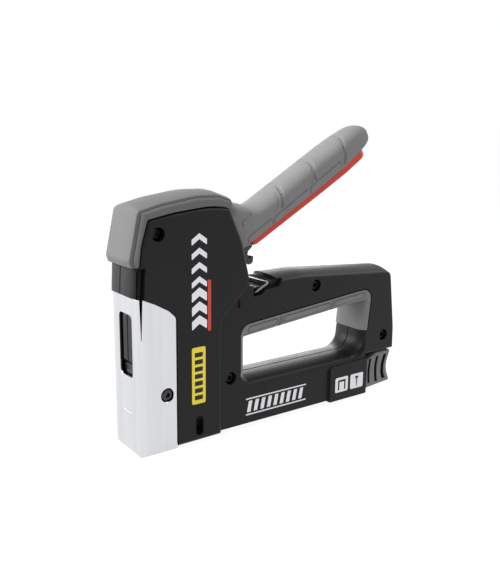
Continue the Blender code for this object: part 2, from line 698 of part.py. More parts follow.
def make_channel(surface):
    """The fixed steel channel, open underneath."""
    half, top = CHANNEL_HALF, CHANNEL_TOP
    section = [
        (-half, 1.5), (-half + SHEET, 1.5), (-half + SHEET, top - SHEET),
        (half - SHEET, top - SHEET), (half - SHEET, 1.5), (half, 1.5), (half, top), (-half, top),
    ]
    return finish(bar("magazine_channel", section, CHANNEL_FRONT, CHANNEL_REAR), surface)


def make_rail(surface):
    """The sliding rail that closes the magazine from below."""
    section = [
        (-6.8, 0.0), (6.8, 0.0), (6.8, 1.1), (3.9, 1.1), (3.9, 12.2), (3.0, 12.2), (3.0, 1.1),
        (-3.0, 1.1), (-3.0, 12.2), (-3.9, 12.2), (-3.9, 1.1), (-6.8, 1.1),
    ]
    rail = bar("magazine_rail", section, CHANNEL_FRONT + 0.4, RAIL_REAR)
    join(rail, box("tongue", (RAIL_REAR - 2.0, 174.0), (-5.0, 5.0), (0.0, 1.1)))
    cut(rail, turned("hole", (170.0, 0.0, -2.0), "z", [(0.0, 1.6), (6.0, 1.6)], 14))
    return finish(rail, surface)


def make_knob(surface):
    """The knob that draws the rail out, with three finger grooves on each side."""
    rings = []
    for y, inset in mirrored([(0.0, 0.0), (11.8, 0.1), (KNOB_HALF, 0.9)]):
        rings.append([world(x, y, z) for x, z in outline(KNOB, inset)])
    knob = loft("magazine_knob", rings)
    for i in range(3):
        x = 165.4 + 5.2 * i
        groove = [
            (x, 6.6, 0.4), (x + 1.6, 6.6, 0.4), (x + 2.6, 15.0, 12.0), (x + 1.6, 22.0, 0.4),
            (x, 22.0, 0.4), (x + 1.0, 15.0, 12.0),
        ]
        for side in (-1, 1):
            cut(knob, plate("groove", groove, side * (KNOB_HALF - 1.2), side * 16.0, 2))
    cut(knob, turned("rod_hole", (150.0, 0.0, ROD_Z), "x", [(0.0, 1.5), (24.0, 1.5)]))
    cut(knob, turned("rivet_hole", (170.0, 0.0, 0.0), "z", [(0.0, 1.6), (6.0, 1.6)], 14))
    return finish(knob, surface)


def make_knob_rivet(surface):
    """The rivet from the rail's tongue into the knob."""
    return finish(turned("knob_rivet", (170.0, 0.0, 0.1), "z", [(0.0, 1.3), (5.4, 1.3)], 14), surface)


def make_pusher(surface):
    """The sliding pusher, which straddles the rail and rides on its rod."""
    section = [
        (-5.6, 2.6), (-4.2, 2.6), (-4.2, 12.5), (-2.7, 12.5), (-2.7, 4.2), (2.7, 4.2), (2.7, 12.5),
        (4.2, 12.5), (4.2, 2.6), (5.6, 2.6), (5.6, 15.6), (4.6, 16.4), (-4.6, 16.4), (-5.6, 15.6),
    ]
    pusher = bar("staple_pusher", section, STRIP_REAR + GAP, STRIP_REAR + 19.0)
    cut(pusher, turned("bore", (30.0, 0.0, ROD_Z), "x", [(0.0, 1.6), (50.0, 1.6)], 14))
    return finish(pusher, surface)


def make_staples(surface):
    """A strip of glued staples, as one bar with an inverted U section."""
    inner = STAPLE_HALF - 1.1
    section = [
        (-STAPLE_HALF, 2.2), (-inner, 2.2), (-inner, STAPLE_TOP - 1.1), (inner, STAPLE_TOP - 1.1),
        (inner, 2.2), (STAPLE_HALF, 2.2), (STAPLE_HALF, STAPLE_TOP), (-STAPLE_HALF, STAPLE_TOP),
    ]
    return finish(bar("staple_strip", section, STRIP_FRONT, STRIP_REAR), surface)


def make_rod_and_spring(surface):
    """The pusher's guide rod and the long spring around it."""
    rod = turned("pusher_rod", (7.0, 0.0, ROD_Z), "x", [(0.0, 0.8), (0.5, 1.2), (166.0, 1.2)], 12)
    start = (STRIP_REAR + 19.4, 0.0, ROD_Z)
    spring = coil("pusher_spring", start, "x", 96.0, 2.05, 0.4, 16, 8, 4)
    return [finish(rod, surface), finish(spring, surface)]


# ---------------------------------------------------------------- lock
def make_bail(surface):
    """The wire bail: two short pivots, two legs and a crossbar, with bent corners."""
    bends = [
        Vector((BAIL_X, -8.6, BAIL_Z)), Vector((BAIL_X, -BAIL_HALF, BAIL_Z)),
        Vector((BAIL_TOP_X, -BAIL_HALF, BAIL_TOP_Z)), Vector((BAIL_TOP_X, BAIL_HALF, BAIL_TOP_Z)),
        Vector((BAIL_X, BAIL_HALF, BAIL_Z)), Vector((BAIL_X, 8.6, BAIL_Z)),
    ]
    points = [bends[0]]
    for before, bend, after in zip(bends, bends[1:], bends[2:]):
        start = bend + (before - bend).normalized() * 1.6
        end = bend + (after - bend).normalized() * 1.6
        for step in range(5):
            t = step / 4
            points.append(start * (1 - t) ** 2 + bend * 2 * t * (1 - t) + end * t ** 2)
    points.append(bends[-1])
    return finish(wire("lock_bail", [world(*point) for point in points], BAIL_WIRE), surface)


# ---------------------------------------------------------------- assembly
def main():
    for existing in list(bpy.data.objects):
        bpy.data.objects.remove(existing)
    surfaces = make_materials()
    make_housing_half("housing_left", -1, surfaces["black"])
    make_housing_half("housing_right", 1, surfaces["black"])
    make_nose_cover(surfaces["chrome"])
    make_top_cap(surfaces["grey"])
    make_grip_pad(surfaces["grey"])
    make_fasteners(surfaces["dark"])
    make_pivot(surfaces["steel"], surfaces["black"])
    make_return_spring(surfaces["steel"])
    make_spring_seat(surfaces["steel"])
    make_bumper(surfaces["bumper"])
    make_driver_guide(surfaces["steel"])
    make_channel(surfaces["steel"])
    make_staples(surfaces["steel"])

    lever = [
        make_lever_core(surfaces["dark"]),
        make_lever_grip(surfaces["grey"]),
        make_lever_insert(surfaces["red"]),
        make_lever_hook(surfaces["dark"]),
        make_hook_rivet(surfaces["steel"]),
    ]
    hang_on(lever, "lever_axis", (PIVOT_X, 0.0, PIVOT_Z))
    striker = make_striker(surfaces["dark"], surfaces["steel"])
    striker.append(make_main_spring(surfaces["steel"]))
    hang_on(striker, "striker_axis", (STRIKER_X, 0.0, 44.0))
    pusher = [make_pusher(surfaces["dark"])]
    rail = [
        make_rail(surfaces["steel"]),
        make_knob(surfaces["grey"]),
        make_knob_rivet(surfaces["steel"]),
        *make_rod_and_spring(surfaces["steel"]),
    ]
    hang_on(pusher, "pusher_axis", (STRIP_REAR, 0.0, ROD_Z))
    hang_on(rail, "magazine_axis", (RAIL_REAR, 0.0, ROD_Z))
    hang_on([make_bail(surfaces["steel"])], "bail_axis", (BAIL_X, 0.0, BAIL_Z))


main()
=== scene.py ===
"""The looks of the hand staple gun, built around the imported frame.

Lengths are millimetres measured from the front of the nose (x), the middle plane (y) and the
base (z). Meshes are written in metres, in the frame's own coordinates. Lever shapes are given
along (u) and across (v) the lever, measured from its pivot.
"""
import math

import bmesh
import bpy
import numpy as np
from mathutils import Matrix, Vector

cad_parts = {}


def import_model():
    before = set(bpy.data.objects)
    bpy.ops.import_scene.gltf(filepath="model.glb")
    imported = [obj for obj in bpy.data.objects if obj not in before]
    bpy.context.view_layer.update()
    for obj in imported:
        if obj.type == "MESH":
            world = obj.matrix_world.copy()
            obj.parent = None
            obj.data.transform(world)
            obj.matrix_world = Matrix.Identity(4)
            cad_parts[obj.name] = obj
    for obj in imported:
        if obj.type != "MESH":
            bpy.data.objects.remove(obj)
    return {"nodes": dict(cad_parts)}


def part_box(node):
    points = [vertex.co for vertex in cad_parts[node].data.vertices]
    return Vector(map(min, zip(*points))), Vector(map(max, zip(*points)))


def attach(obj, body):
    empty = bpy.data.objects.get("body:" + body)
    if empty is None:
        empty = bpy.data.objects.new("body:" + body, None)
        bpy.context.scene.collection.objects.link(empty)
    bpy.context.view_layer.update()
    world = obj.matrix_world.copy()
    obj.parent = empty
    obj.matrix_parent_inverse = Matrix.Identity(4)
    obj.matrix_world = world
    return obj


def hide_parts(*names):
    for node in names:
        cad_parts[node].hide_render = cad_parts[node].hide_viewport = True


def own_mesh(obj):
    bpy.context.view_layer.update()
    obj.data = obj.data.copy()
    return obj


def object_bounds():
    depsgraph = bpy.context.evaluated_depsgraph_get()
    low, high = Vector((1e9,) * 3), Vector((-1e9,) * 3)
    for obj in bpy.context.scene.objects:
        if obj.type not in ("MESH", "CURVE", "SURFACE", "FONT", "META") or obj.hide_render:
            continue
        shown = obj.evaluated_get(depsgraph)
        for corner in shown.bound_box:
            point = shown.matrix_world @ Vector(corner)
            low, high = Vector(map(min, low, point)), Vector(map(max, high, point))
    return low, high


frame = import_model()
CAD_BOUNDS = [list(corner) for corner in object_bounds()]

# ------------ places read from the frame
MM = 0.001
NOSE_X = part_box("nose_cover")[0][0]


def span(node, axis):
    """Lowest and highest value of a CAD node along x, y or z, in millimetres."""
    i = "xyz".index(axis)
    shift = NOSE_X if axis == "x" else 0.0
    return tuple((corner[i] - shift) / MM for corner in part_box(node))


def middle(node, axis):
    """Middle of a CAD node along x, y or z, in millimetres."""
    return sum(span(node, axis)) / 2


def half_width(node):
    """How far a CAD node reaches to the right of the middle plane, in millimetres."""
    return span(node, "y")[1]


GAP = 0.3  # clearance between the nose cover and the housing
TOWER_HALF = half_width("housing_right")
BODY_HALF = TOWER_HALF - 1.3  # half width of the grip and the magazine housing
PANEL_FACE = BODY_HALF - 0.55  # floor of the side panel that carries the pale rules
BLOCK_FACE = BODY_HALF + 1.1  # face of the raised block that carries the tiles
NOSE_HALF = half_width("nose_cover")
CAP_HALF = half_width("top_cap")
PAD_RIM = half_width("grip_pad") + 0.75  # the moulded rim stands a little proud of the CAD pad
KNOB_HALF = half_width("magazine_knob")
LEVER_HALF = half_width("lever_grip")
INSERT_HALF = half_width("lever_insert")
HOOK_HALF = half_width("lever_hook")
PIVOT_X, PIVOT_Z = middle("pivot_pin", "x"), middle("pivot_pin", "z")
LEVER_ANGLE = math.radians(30.0)  # lift of the open lever above the horizontal
CORE_HALF = half_width("lever_core")
BAIL_WIRE = 1.0  # wire radius of the CAD bail
BAIL_HALF = half_width("lock_bail") - BAIL_WIRE
BAIL_X, BAIL_Z = (span("lock_bail", axis)[0] + BAIL_WIRE for axis in "xz")
BAIL_TOP_X, BAIL_TOP_Z = (span("lock_bail", axis)[1] - BAIL_WIRE for axis in "xz")
SHEET = 1.0  # steel sheet of the nose cover
CORE_HOLE, HUB_HOLE = 0.05, 9.8  # room in the grip beside the core, and round its hub
TINY = 1e-9  # keeps a division away from zero
SCREWS = {
    name: (middle(name, "x"), middle(name, "z"))
    for name in ("screw_tower", "screw_frame", "screw_grip", "screw_rear")
}
NOSE_SCREW = (middle("nose_screw_left", "x"), middle("nose_screw_left", "z"))
FLANKS = (("left", -1), ("right", 1))
ARC = 8  # steps in each rounded corner of an outline

# ------------ outlines, as (x, z, radius)
TOWER = [
    (1.3, 0.8, 0.6), (49.4, 1.2, 1.2), (49.6, 66, 12), (67, 82, 2),
    (67.6, 86.5, 8), (62.6, 106.6, 30), (53.9, 125.7, 1.5), (42, 126.9, 60),
    (20, 124.6, 90), (6.2, 122, 1.5), (2.4, 109.4, 6), (1.1, 98.4, 0.3),
    (-2.5, 98.2, 0.3), (-2.5, 84, 0.8), (1.3, 82.9, 0.6),
]
BODY = [
    (44, 2.2, 0.3), (160.5, 2.2, 1.2), (160.5, 27.2, 0.4), (186.3, 27.6, 1.2),
    (185.9, 42, 30), (180.4, 81.8, 6), (106, 86.7, 90), (92, 86.4, 6),
    (44, 86.2, 0.3),
]
BODY_CROWN = [0, 0.3, 0, 0.5, 0.5, 1, 1, 1, 0]
OPENING = [
    (62.3, 25.9, 7.5), (158.6, 26.4, 13), (163, 70.6, 6.5), (150, 70, 30),
    (62, 61.4, 7.5),
]
PAD_THICKNESS = [0.42, 0.42, 1, 1, 0.42]  # share of full thickness on each side of OPENING
LIP_SHARE = [1, 0, 0, 0, 0]  # share of the flared lip on each side
PAD_REAR_Z, PAD_FRONT_Z = 43.2, 33.4  # where the pad ends on the rear and front walls
CAP = [
    (0.8, 98.8, 0.5), (2.1, 109.5, 6), (5.9, 122.3, 1.5), (20, 125.1, 90),
    (42, 127.4, 60), (54.2, 126.2, 1), (58.8, 127.2, 0.6), (56.8, 131.4, 3),
    (47, 134.8, 14), (34, 134.9, 50), (14, 131.8, 60), (1.4, 128.6, 4),
    (-4.2, 102.5, 3), (-3.2, 98.9, 1),
]
NOSE_SIDE = [
    (0, 0, 0.4), (21.6, 0, 0.4), (21.6, 71.2, 4), (17.4, 75.4, 6),
    (9.4, 79.9, 20), (2.2, 83.1, 0.6), (0, 83.3, 0.4),
]
TOWER_HOLLOW = [
    (5.4, 35.7, 0.4), (46.5, 35.7, 2), (46.5, 77, 6), (60, 84.6, 4),
    (78, 84.6, 0.3), (78, 131, 0.3), (50.2, 131, 0.3), (50.2, 124, 0.3),
    (33, 123.9, 30), (6.4, 119.4, 2), (3.9, 108, 6), (3.9, 46, 0.3),
]
LEVER_HOLLOW = [
    (37, 96, 4), (58, 84.9, 4), (79, 84.9, 0.3), (79, 132, 0.3),
    (50.6, 132, 0.3), (50.6, 123.4, 0.3), (37, 123.4, 3),
]
HOOK_WELL = [
    (59.6, 76.6, 3), (71.4, 76.4, 2), (79, 82.6, 2), (79, 92, 0.3), (59.6, 92, 0.3),
]
GRIP_HOLLOW = [
    (97, 68.2, 2), (152, 73.6, 6), (166.2, 73, 4), (166.2, 31, 1),
    (182.2, 31, 1), (176.4, 76.2, 3), (97, 79.2, 2),
]
LEVER_HOOK = [
    (14, -16.3, 0.8), (20.4, -17.3, 0.5), (20.4, -18.6, 0.5), (16.6, -19.2, 1.6),
    (14.6, -21.6, 1.6), (15.2, -24.4, 0.8), (17.2, -22.8, 0.4), (18.2, -23.8, 0.4),
    (16.2, -26.6, 1.2), (12.9, -26.4, 2), (11.9, -22.5, 3), (12.6, -16.4, 0.8),
]
BAIL_FLANK = [
    (70.4, 76.2, 0.6), (75.4, 76.6, 2), (80.5, 79.2, 4), (88.2, 79.9, 2),
    (91.6, 83.4, 1), (91.6, 95, 0.2), (68.2, 95, 0.2), (68.2, 82.3, 0.6), (70.4, 82.3, 0.6),
]
KNOB = [
    (162.6, 3.2, 0.6), (184.6, 4.9, 1.2), (180, 15, 14), (184.3, 26.3, 1.2),
    (171, 26.2, 5), (162.6, 22.4, 2),
]
LEVER_GRIP_HOLLOW = [
    (2, -20, 0.3), (88, -20, 0.3), (88, -3, 2), (13.4, -3, 2),
    (11, 9.2, 0.3), (2, 9.2, 0.3),
]


# ------------ materials
def add_node(tree, kind, **values):
    """A new shader node with its inputs set, by their names with _ for a space."""
    node = tree.nodes.new("ShaderNode" + kind)
    for name, value in values.items():
        node.inputs[name.replace("_", " ")].default_value = value
    return node


def surface(name, colour, roughness, metallic=0.0, specular=0.5, shade=0.08, spread=0.06,
            grain=1500.0, relief=0.06, blotch=90.0):
    """A material with a broken-up tone, an uneven gloss and a fine surface grain.

    shade is how far the tone varies, spread how far the roughness does; grain and blotch are
    noise scales per metre, and relief is the strength of the bump.
    """
    made = bpy.data.materials.new(name)
    made.use_nodes = True
    tree = made.node_tree
    link = tree.links.new
    shader = tree.nodes["Principled BSDF"]
    shader.inputs["Metallic"].default_value = metallic
    shader.inputs["Specular IOR Level"].default_value = specular
    place = add_node(tree, "TexCoord")
    wide = add_node(tree, "TexNoise", Scale=blotch, Detail=4.0)
    fine = add_node(tree, "TexNoise", Scale=grain, Detail=3.0)
    tone = add_node(tree, "ValToRGB")
    for stop, position, change in zip(tone.color_ramp.elements, (0.3, 0.7), (-shade, shade)):
        stop.position = position
        stop.color = (*(min(channel * (1 + change), 1) for channel in colour), 1)
    rough = {"To_Min": max(roughness - spread, 0.02), "To_Max": roughness + spread}
    gloss = add_node(tree, "MapRange", **rough)
    bump = add_node(tree, "Bump", Strength=relief, Distance=0.0002)
    for noise in (wide, fine):
        link(place.outputs["Object"], noise.inputs["Vector"])
    link(wide.outputs["Fac"], tone.inputs["Fac"])
    link(wide.outputs["Fac"], gloss.inputs["Value"])
    link(fine.outputs["Fac"], bump.inputs["Height"])
    link(tone.outputs["Color"], shader.inputs["Base Color"])
    link(gloss.outputs["Result"], shader.inputs["Roughness"])
    link(bump.outputs["Normal"], shader.inputs["Normal"])
    return made


def brushed(name, colour, roughness, streak, relief=0.05):
    """A steel with parallel streaks in tone and gloss; streak is the noise scale along x, y and z.
    Fine streaks are brushing marks; the chrome's broad bands are painted reflection.
    """
    made = surface(name, colour, roughness, metallic=1.0, shade=0.05, spread=0.05, relief=relief)
    tree = made.node_tree
    place = next(node for node in tree.nodes if node.type == "TEX_COORD")
    stretch = add_node(tree, "Mapping", Scale=streak)
    tree.links.new(place.outputs["Object"], stretch.inputs["Vector"])
    for node in tree.nodes:
        if node.type == "TEX_NOISE":
            tree.links.new(stretch.outputs["Vector"], node.inputs["Vector"])
    return made


SOFT = {"roughness": 0.68, "specular": 0.14, "shade": 0.04, "grain": 2600.0, "relief": 0.16}
PRINT = {"roughness": 0.42, "specular": 0.35, "relief": 0.03}
CROSS_GRAIN = (900.0, 1400.0, 900.0)

NYLON = surface("black_nylon", (0.0062, 0.0062, 0.0064), 0.42, specular=0.21, shade=0.1,
                relief=0.1)
PIN_NYLON = surface("bush_nylon", (0.03, 0.03, 0.032), 0.45, specular=0.4, relief=0.05)
RUBBER = surface("grey_rubber", (0.178, 0.178, 0.181), **SOFT)
# The cap's rubber is the same grey rubber as the lever, pad and knob, made darker as painted shade.
CAP_SHADED_RUBBER = surface("cap_rubber_painted_shade", (0.119, 0.119, 0.121), **SOFT)
# The near-black rubber is the bumper's own colour, and painted shade on the knob's slot walls.
DARK_RUBBER_AND_SLOT_SHADE = surface("bumper_rubber", (0.02, 0.02, 0.02), 0.7, specular=0.25, relief=0.2)
RED = surface("red_plastic", (0.50, 0.034, 0.018), 0.36, specular=0.3, shade=0.05, relief=0.05)
RED_INK = surface("red_ink", (0.56, 0.046, 0.030), shade=0.04, **PRINT)
YELLOW = surface("yellow_label", (0.74, 0.60, 0.036), shade=0.03, **PRINT)
WHITE = surface("white_ink", (0.72, 0.73, 0.76), 0.5, specular=0.3, shade=0.03, relief=0.03)
INK = surface("dark_ink", (0.010, 0.010, 0.013), 0.45, specular=0.3, shade=0.1, relief=0.03)
# The chrome's broad vertical tone bands are painted reflection, standing in for uneven reflections on
# the plating.
CHROME = brushed("chrome_plate", (0.64, 0.65, 0.67), 0.10, (2.2, 2.2, 0.08), relief=0.004)
BAIL_STEEL = brushed("bail_steel", (0.30, 0.30, 0.30), 0.3, CROSS_GRAIN)
STEEL = brushed("bright_steel", (0.66, 0.66, 0.65), 0.26, (300.0, 2400.0, 2400.0))
DARK_STEEL = brushed("dark_steel", (0.055, 0.055, 0.058), 0.38, CROSS_GRAIN)
WIRE = brushed("staple_wire", (0.70, 0.70, 0.70), 0.22, (2000.0, 500.0, 500.0))
BLACK_SCREW = surface("black_screw_steel", (0.022, 0.022, 0.023), 0.33, metallic=1.0,
                      spread=0.08, relief=0.08)
GUN_SCREW = surface("nose_screw_steel", (0.06, 0.06, 0.06), 0.22, metallic=1.0, relief=0.05)
FLOOR = surface("studio_floor", (0.08, 0.08, 0.08), 0.9, specular=0.0, shade=0.004,
                blotch=3.0, grain=40.0, relief=0.0)
FLOOR_INPUTS = FLOOR.node_tree.nodes["Principled BSDF"].inputs
FLOOR_INPUTS["Emission Color"].default_value = (1.0, 1.0, 1.0, 1.0)
FLOOR_INPUTS["Emission Strength"].default_value = 0.94


# ------------ shapes
def world(x, y, z):
    """A point in millimetres as a frame point in metres."""
    return Vector((NOSE_X + x * MM, y * MM, z * MM))


def lever_point(u, v):
    """A lever point (u, v) as a side-view point (x, z)."""
    c, s = math.cos(LEVER_ANGLE), math.sin(LEVER_ANGLE)
    return PIVOT_X + u * c - v * s, PIVOT_Z + u * s + v * c


def lever_corners(corners):
    """A lever outline, from (u, v, radius), as a side-view outline."""
    return [(*lever_point(u, v), radius) for u, v, radius in corners]


def lever_ring(points):
    """Lever points (u, y, v) as world points."""
    ring = []
    for u, y, v in points:
        x, z = lever_point(u, v)
        ring.append(world(x, y, z))
    return ring


def shifted_lines(corners, insets):
    """Each side of a polygon as (point, direction), moved inwards by its own inset."""
    lines = []
    for i, (x, z, _) in enumerate(corners):
        next_x, next_z, _ = corners[(i + 1) % len(corners)]
        along = Vector((next_x - x, next_z - z)).normalized()
        inwards = Vector((-along.y, along.x))
        lines.append((Vector((x, z)) + inwards * insets[i], along))
    return lines


def crossing(line_a, line_b):
    """Where two lines (point, direction) cross."""
    (point_a, along_a), (point_b, along_b) = line_a, line_b
    cross = along_a.x * along_b.y - along_a.y * along_b.x
    step = point_b - point_a
    reach = (step.x * along_b.y - step.y * along_b.x) / cross
    return point_a + along_a * reach


def outline(corners, inset=0, crown=0, weights=None, steps=ARC):
    """Points of an anticlockwise outline with rounded corners, moved inwards.

    Every side moves inwards by inset, and by crown times its own weight.
    """
    weights = weights or [0] * len(corners)
    insets = [inset + crown * weight for weight in weights]
    lines = shifted_lines(corners, insets)
    points = []
    for i, (_, _, radius) in enumerate(corners):
        before, after = lines[i - 1], lines[i]
        corner = crossing(before, after)
        turn = math.atan2(
            before[1].x * after[1].y - before[1].y * after[1].x, before[1].dot(after[1])
        )
        mean_inset = (insets[i - 1] + insets[i]) / 2
        fitted = max(radius - math.copysign(mean_inset, turn), 0.15)
        setback = fitted * math.tan(abs(turn) / 2)
        start = corner - before[1] * setback
        side = math.copysign(1, turn)
        centre = start + Vector((-before[1].y, before[1].x)) * fitted * side
        arm = start - centre
        for step in range(steps + 1):
            point = centre + Matrix.Rotation(turn * step / steps, 2) @ arm
            points.append((point.x, point.y))
    return points


def new_object(name, mesh):
    """A scene object made from a bmesh."""
    data = bpy.data.meshes.new(name)
    mesh.to_mesh(data)
    mesh.free()
    made = bpy.data.objects.new(name, data)
    bpy.context.scene.collection.objects.link(made)
    return made


def loft(name, *solids):
    """An object of closed solids, each through matching rings of world points, capped at its ends."""
    mesh = bmesh.new()
    for rings in solids:
        rows = [[mesh.verts.new(point) for point in ring] for ring in rings]
        for row, following in zip(rows, rows[1:]):
            for i in range(len(row)):
                j = (i + 1) % len(row)
                mesh.faces.new((row[i], row[j], following[j], following[i]))
        mesh.faces.new(rows[0])
        mesh.faces.new(list(reversed(rows[-1])))
    bmesh.ops.recalc_face_normals(mesh, faces=mesh.faces)
    return new_object(name, mesh)


def side_loft(name, layers, side=1):
    """A solid through side-view outlines, from (y, points) layers."""
    return loft(name, [[world(x, side * y, z) for x, z in points] for y, points in layers])


def inset_loft(name, corners, rows, side=1, steps=ARC):
    """A solid through one side-view outline, drawn in by its own amount at each (y, inset)."""
    return side_loft(name, [(y, outline(corners, inset, steps=steps)) for y, inset in rows], side)


def plan_loft(name, layers, side=1):
    """A solid through outlines seen from above, from (z, points) layers."""
    return loft(name, [[world(x, side * y, z) for x, y in points] for z, points in layers])


def plate(name, corners, y_low, y_high):
    """A side-view outline made solid between two y values."""
    return inset_loft(name, corners, [(y_low, 0), (y_high, 0)])


def flared_cutter(name, corners, side, floor, face, lip):
    """A cutter from a floor out past a face, with a rounded lip where it meets the face."""
    rows = [(floor, 0.25), (floor + 0.1, 0.08), (floor + 0.3, 0)]
    for step in range(5):
        angle = math.pi / 8 * step
        rows.append((face - lip * math.cos(angle), -lip * (1 - math.sin(math.pi / 2 - angle))))
    rows = sorted(set(rows))
    rows.append((face + 6, -lip - 0.4))
    return inset_loft(name, corners, rows, side)


def box(name, x_range, y_range, z_range):
    """A plain block, used only to cut with."""
    (x0, x1), (z0, z1) = x_range, z_range
    corners = [(x0, z0), (x1, z0), (x1, z1), (x0, z1)]
    return side_loft(name, [(y, corners) for y in y_range])


def turned(name, place, axis, profile, sides=48):
    """A solid turned about an axis through place, from (distance along, radius) pairs."""
    x, y, z = place
    rings = []
    for along, radius in profile:
        ring = []
        for i in range(sides):
            a = radius * math.cos(2 * math.pi * i / sides)
            b = radius * math.sin(2 * math.pi * i / sides)
            shift = {"x": (along, a, b), "y": (b, along, a), "z": (a, b, along)}[axis]
            ring.append(world(x + shift[0], y + shift[1], z + shift[2]))
        rings.append(ring)
    return loft(name, rings)


def bore(name, place, axis, low, high, radius, sides=48):
    """A plain round cutter, from low to high along an axis through place."""
    return turned(name, place, axis, [(low, radius), (high, radius)], sides)


def wire(name, points, radius, sides):
    """A round wire along points in millimetres, with softly rounded ends."""
    points = [world(*point) for point in points]
    ends = len(points) - 1
    rings = []
    normal = None
    for i, point in enumerate(points):
        along = (points[min(i + 1, ends)] - points[max(i - 1, 0)]).normalized()
        if normal is None:
            normal = along.orthogonal().normalized()
        normal = (normal - along * normal.dot(along)).normalized()
        side = along.cross(normal)
        reach = radius * MM * (0.8 if i in (0, ends) else 1)
        ring = []
        for k in range(sides):
            angle = 2 * math.pi * k / sides
            ring.append(point + (normal * math.cos(angle) + side * math.sin(angle)) * reach)
        rings.append(ring)
    return loft(name, rings)


def curve(start, pull, end, steps):
    """Points on a curve from start to end, drawn towards pull."""
    points = []
    for step in range(steps + 1):
        t = step / steps
        points.append(start * (1 - t) ** 2 + pull * 2 * t * (1 - t) + end * t ** 2)
    return points


def smooth_path(corners, radius):
    """Points along straight runs whose corners are bent to a radius."""
    corners = [Vector(corner) for corner in corners]
    points = [corners[0]]
    for before, bend, after in zip(corners, corners[1:], corners[2:]):
        start = bend + (before - bend).normalized() * radius
        end = bend + (after - bend).normalized() * radius
        points += curve(start, bend, end, 8)
    return [*points, corners[-1]]


def combine(target, other, operation):
    """Cut other from target, or join it on, or keep what they share."""
    modifier = target.modifiers.new(operation.lower(), "BOOLEAN")
    modifier.operation = operation
    modifier.object = other
    modifier.solver = "EXACT"
    graph = bpy.context.evaluated_depsgraph_get()
    result = bpy.data.meshes.new_from_object(target.evaluated_get(graph))
    target.modifiers.clear()
    target.data = result
    bpy.data.objects.remove(other)


def cut(target, *cutters):
    """Take cutters away from a piece, one after another."""
    for cutter in cutters:
        combine(target, cutter, "DIFFERENCE")


def join(target, *others):
    """Add solids to a piece, one after another."""
    for other in others:
        combine(target, other, "UNION")


def dress(made, look, body, slot, *nodes, angle=32):
    """Give a piece its look and shading, hang it on its body and let it stand for CAD nodes."""
    clean = bmesh.new()
    clean.from_mesh(made.data)
    bmesh.ops.triangulate(clean, faces=[face for face in clean.faces if len(face.verts) > 4])
    bmesh.ops.remove_doubles(clean, verts=clean.verts, dist=0.000002)
    bmesh.ops.dissolve_degenerate(clean, edges=clean.edges, dist=0.000001)
    clean.to_mesh(made.data)
    clean.free()
    made.data.materials.clear()
    made.data.materials.append(look)
    made.data.shade_smooth()
    made.data.set_sharp_from_angle(angle=math.radians(angle))
    even = made.modifiers.new("even_shading", "WEIGHTED_NORMAL")
    even.keep_sharp = True
    even.weight = 80
    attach(made, body)
    if nodes:
        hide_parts(*nodes)
    return made


def mirrored(rows):
    """Rows (y, ...) for y >= 0, continued to the other side of the middle plane."""
    return [(-row[0], *row[1:]) for row in reversed(rows) if row[0] > 0] + rows


# ------------ housing
def rounded_side(name, corners, side, half, edge, crown=0, weights=None):
    """Half of a body, from a chamfered parting line out to a rounded outer edge."""
    rows = [(0.03, 0.28, 0), (0.33, 0, 0)]
    if crown:
        for step in range(1, 10):
            part = step / 10
            rows.append((part * (half - edge), 0, crown * part ** 2))
    for step in range(7):
        angle = math.pi / 12 * step
        rows.append((half - edge * (1 - math.sin(angle)), edge * (1 - math.cos(angle)), crown))
    layers = [(y, outline(corners, inset, fall, weights)) for y, inset, fall in rows]
    return side_loft(name, layers, side)


def tower_plan(side):
    """A leaning prism that rounds the tower's front in plan.

    Below the cap it leaves a groove between the front and the flank: each row of beside is x,
    y in the groove and y without it.
    """
    front_x, turn, lean, upright_z = -2.1, 72, 0.05, 92
    front = [(-1.4, -2), (-1.4, 0.2), (front_x, 0.55), (front_x, 2)]
    for step in range(13):
        angle = math.radians(turn) * step / 12
        front.append((front_x + 2.84 * (1 - math.cos(angle)), 4 + 10 * math.sin(angle)))
    beside = [
        (0, 13, 16.2), (0.3, 12.2, 16.3), (0.8, 11.6, 16.4), (1.6, 11.2, 16.5),
        (2.7, 11.1, 16.6), (3.35, 11.35, 16.7), (3.7, 11.9, 16.75), (3.9, 13.2, 16.8),
        (3.98, 14.3, 16.85), (4.15, 14.95, 16.9), (4.5, 15.4, 17), (5, 15.68, 17.2),
    ]
    rest = [(5.8, 17.4), (6.2, 18), (80, 18), (80, -2)]
    layers = []
    for z, grooved in ((-10, True), (97, True), (99.5, False), (140, False)):
        back = lean * (z - upright_z)
        plan = front + [(x, low if grooved else high) for x, low, high in beside] + rest
        layers.append((z, [(x + back, y) for x, y in plan]))
    return plan_loft("tower_plan", layers, side)


def opening_cutter(side):
    """The finger opening: crowned inside, with a rounded lip where the pad doesn't cover it."""
    crowned = [(-1, 2.75), (0.15, 2.75), (0.45, 3.1), (3, 3.08), (5, 2.95), (7, 2.65),
               (9, 2.15), (10.5, 1.65), (11.8, 1.1), (12.4, 0.8), (12.9, 0.45), (13.4, 0)]
    lip = [(13.8, -0.5), (14.1, -1), (14.3, -1.5), (14.5, -2.2), (16, -2.4)]
    rows = [(y, inset, 0) for y, inset in crowned] + [(y, 0, flare) for y, flare in lip]
    layers = [(y, outline(OPENING, inset, flare, LIP_SHARE)) for y, inset, flare in rows]
    return side_loft("opening", layers, side)


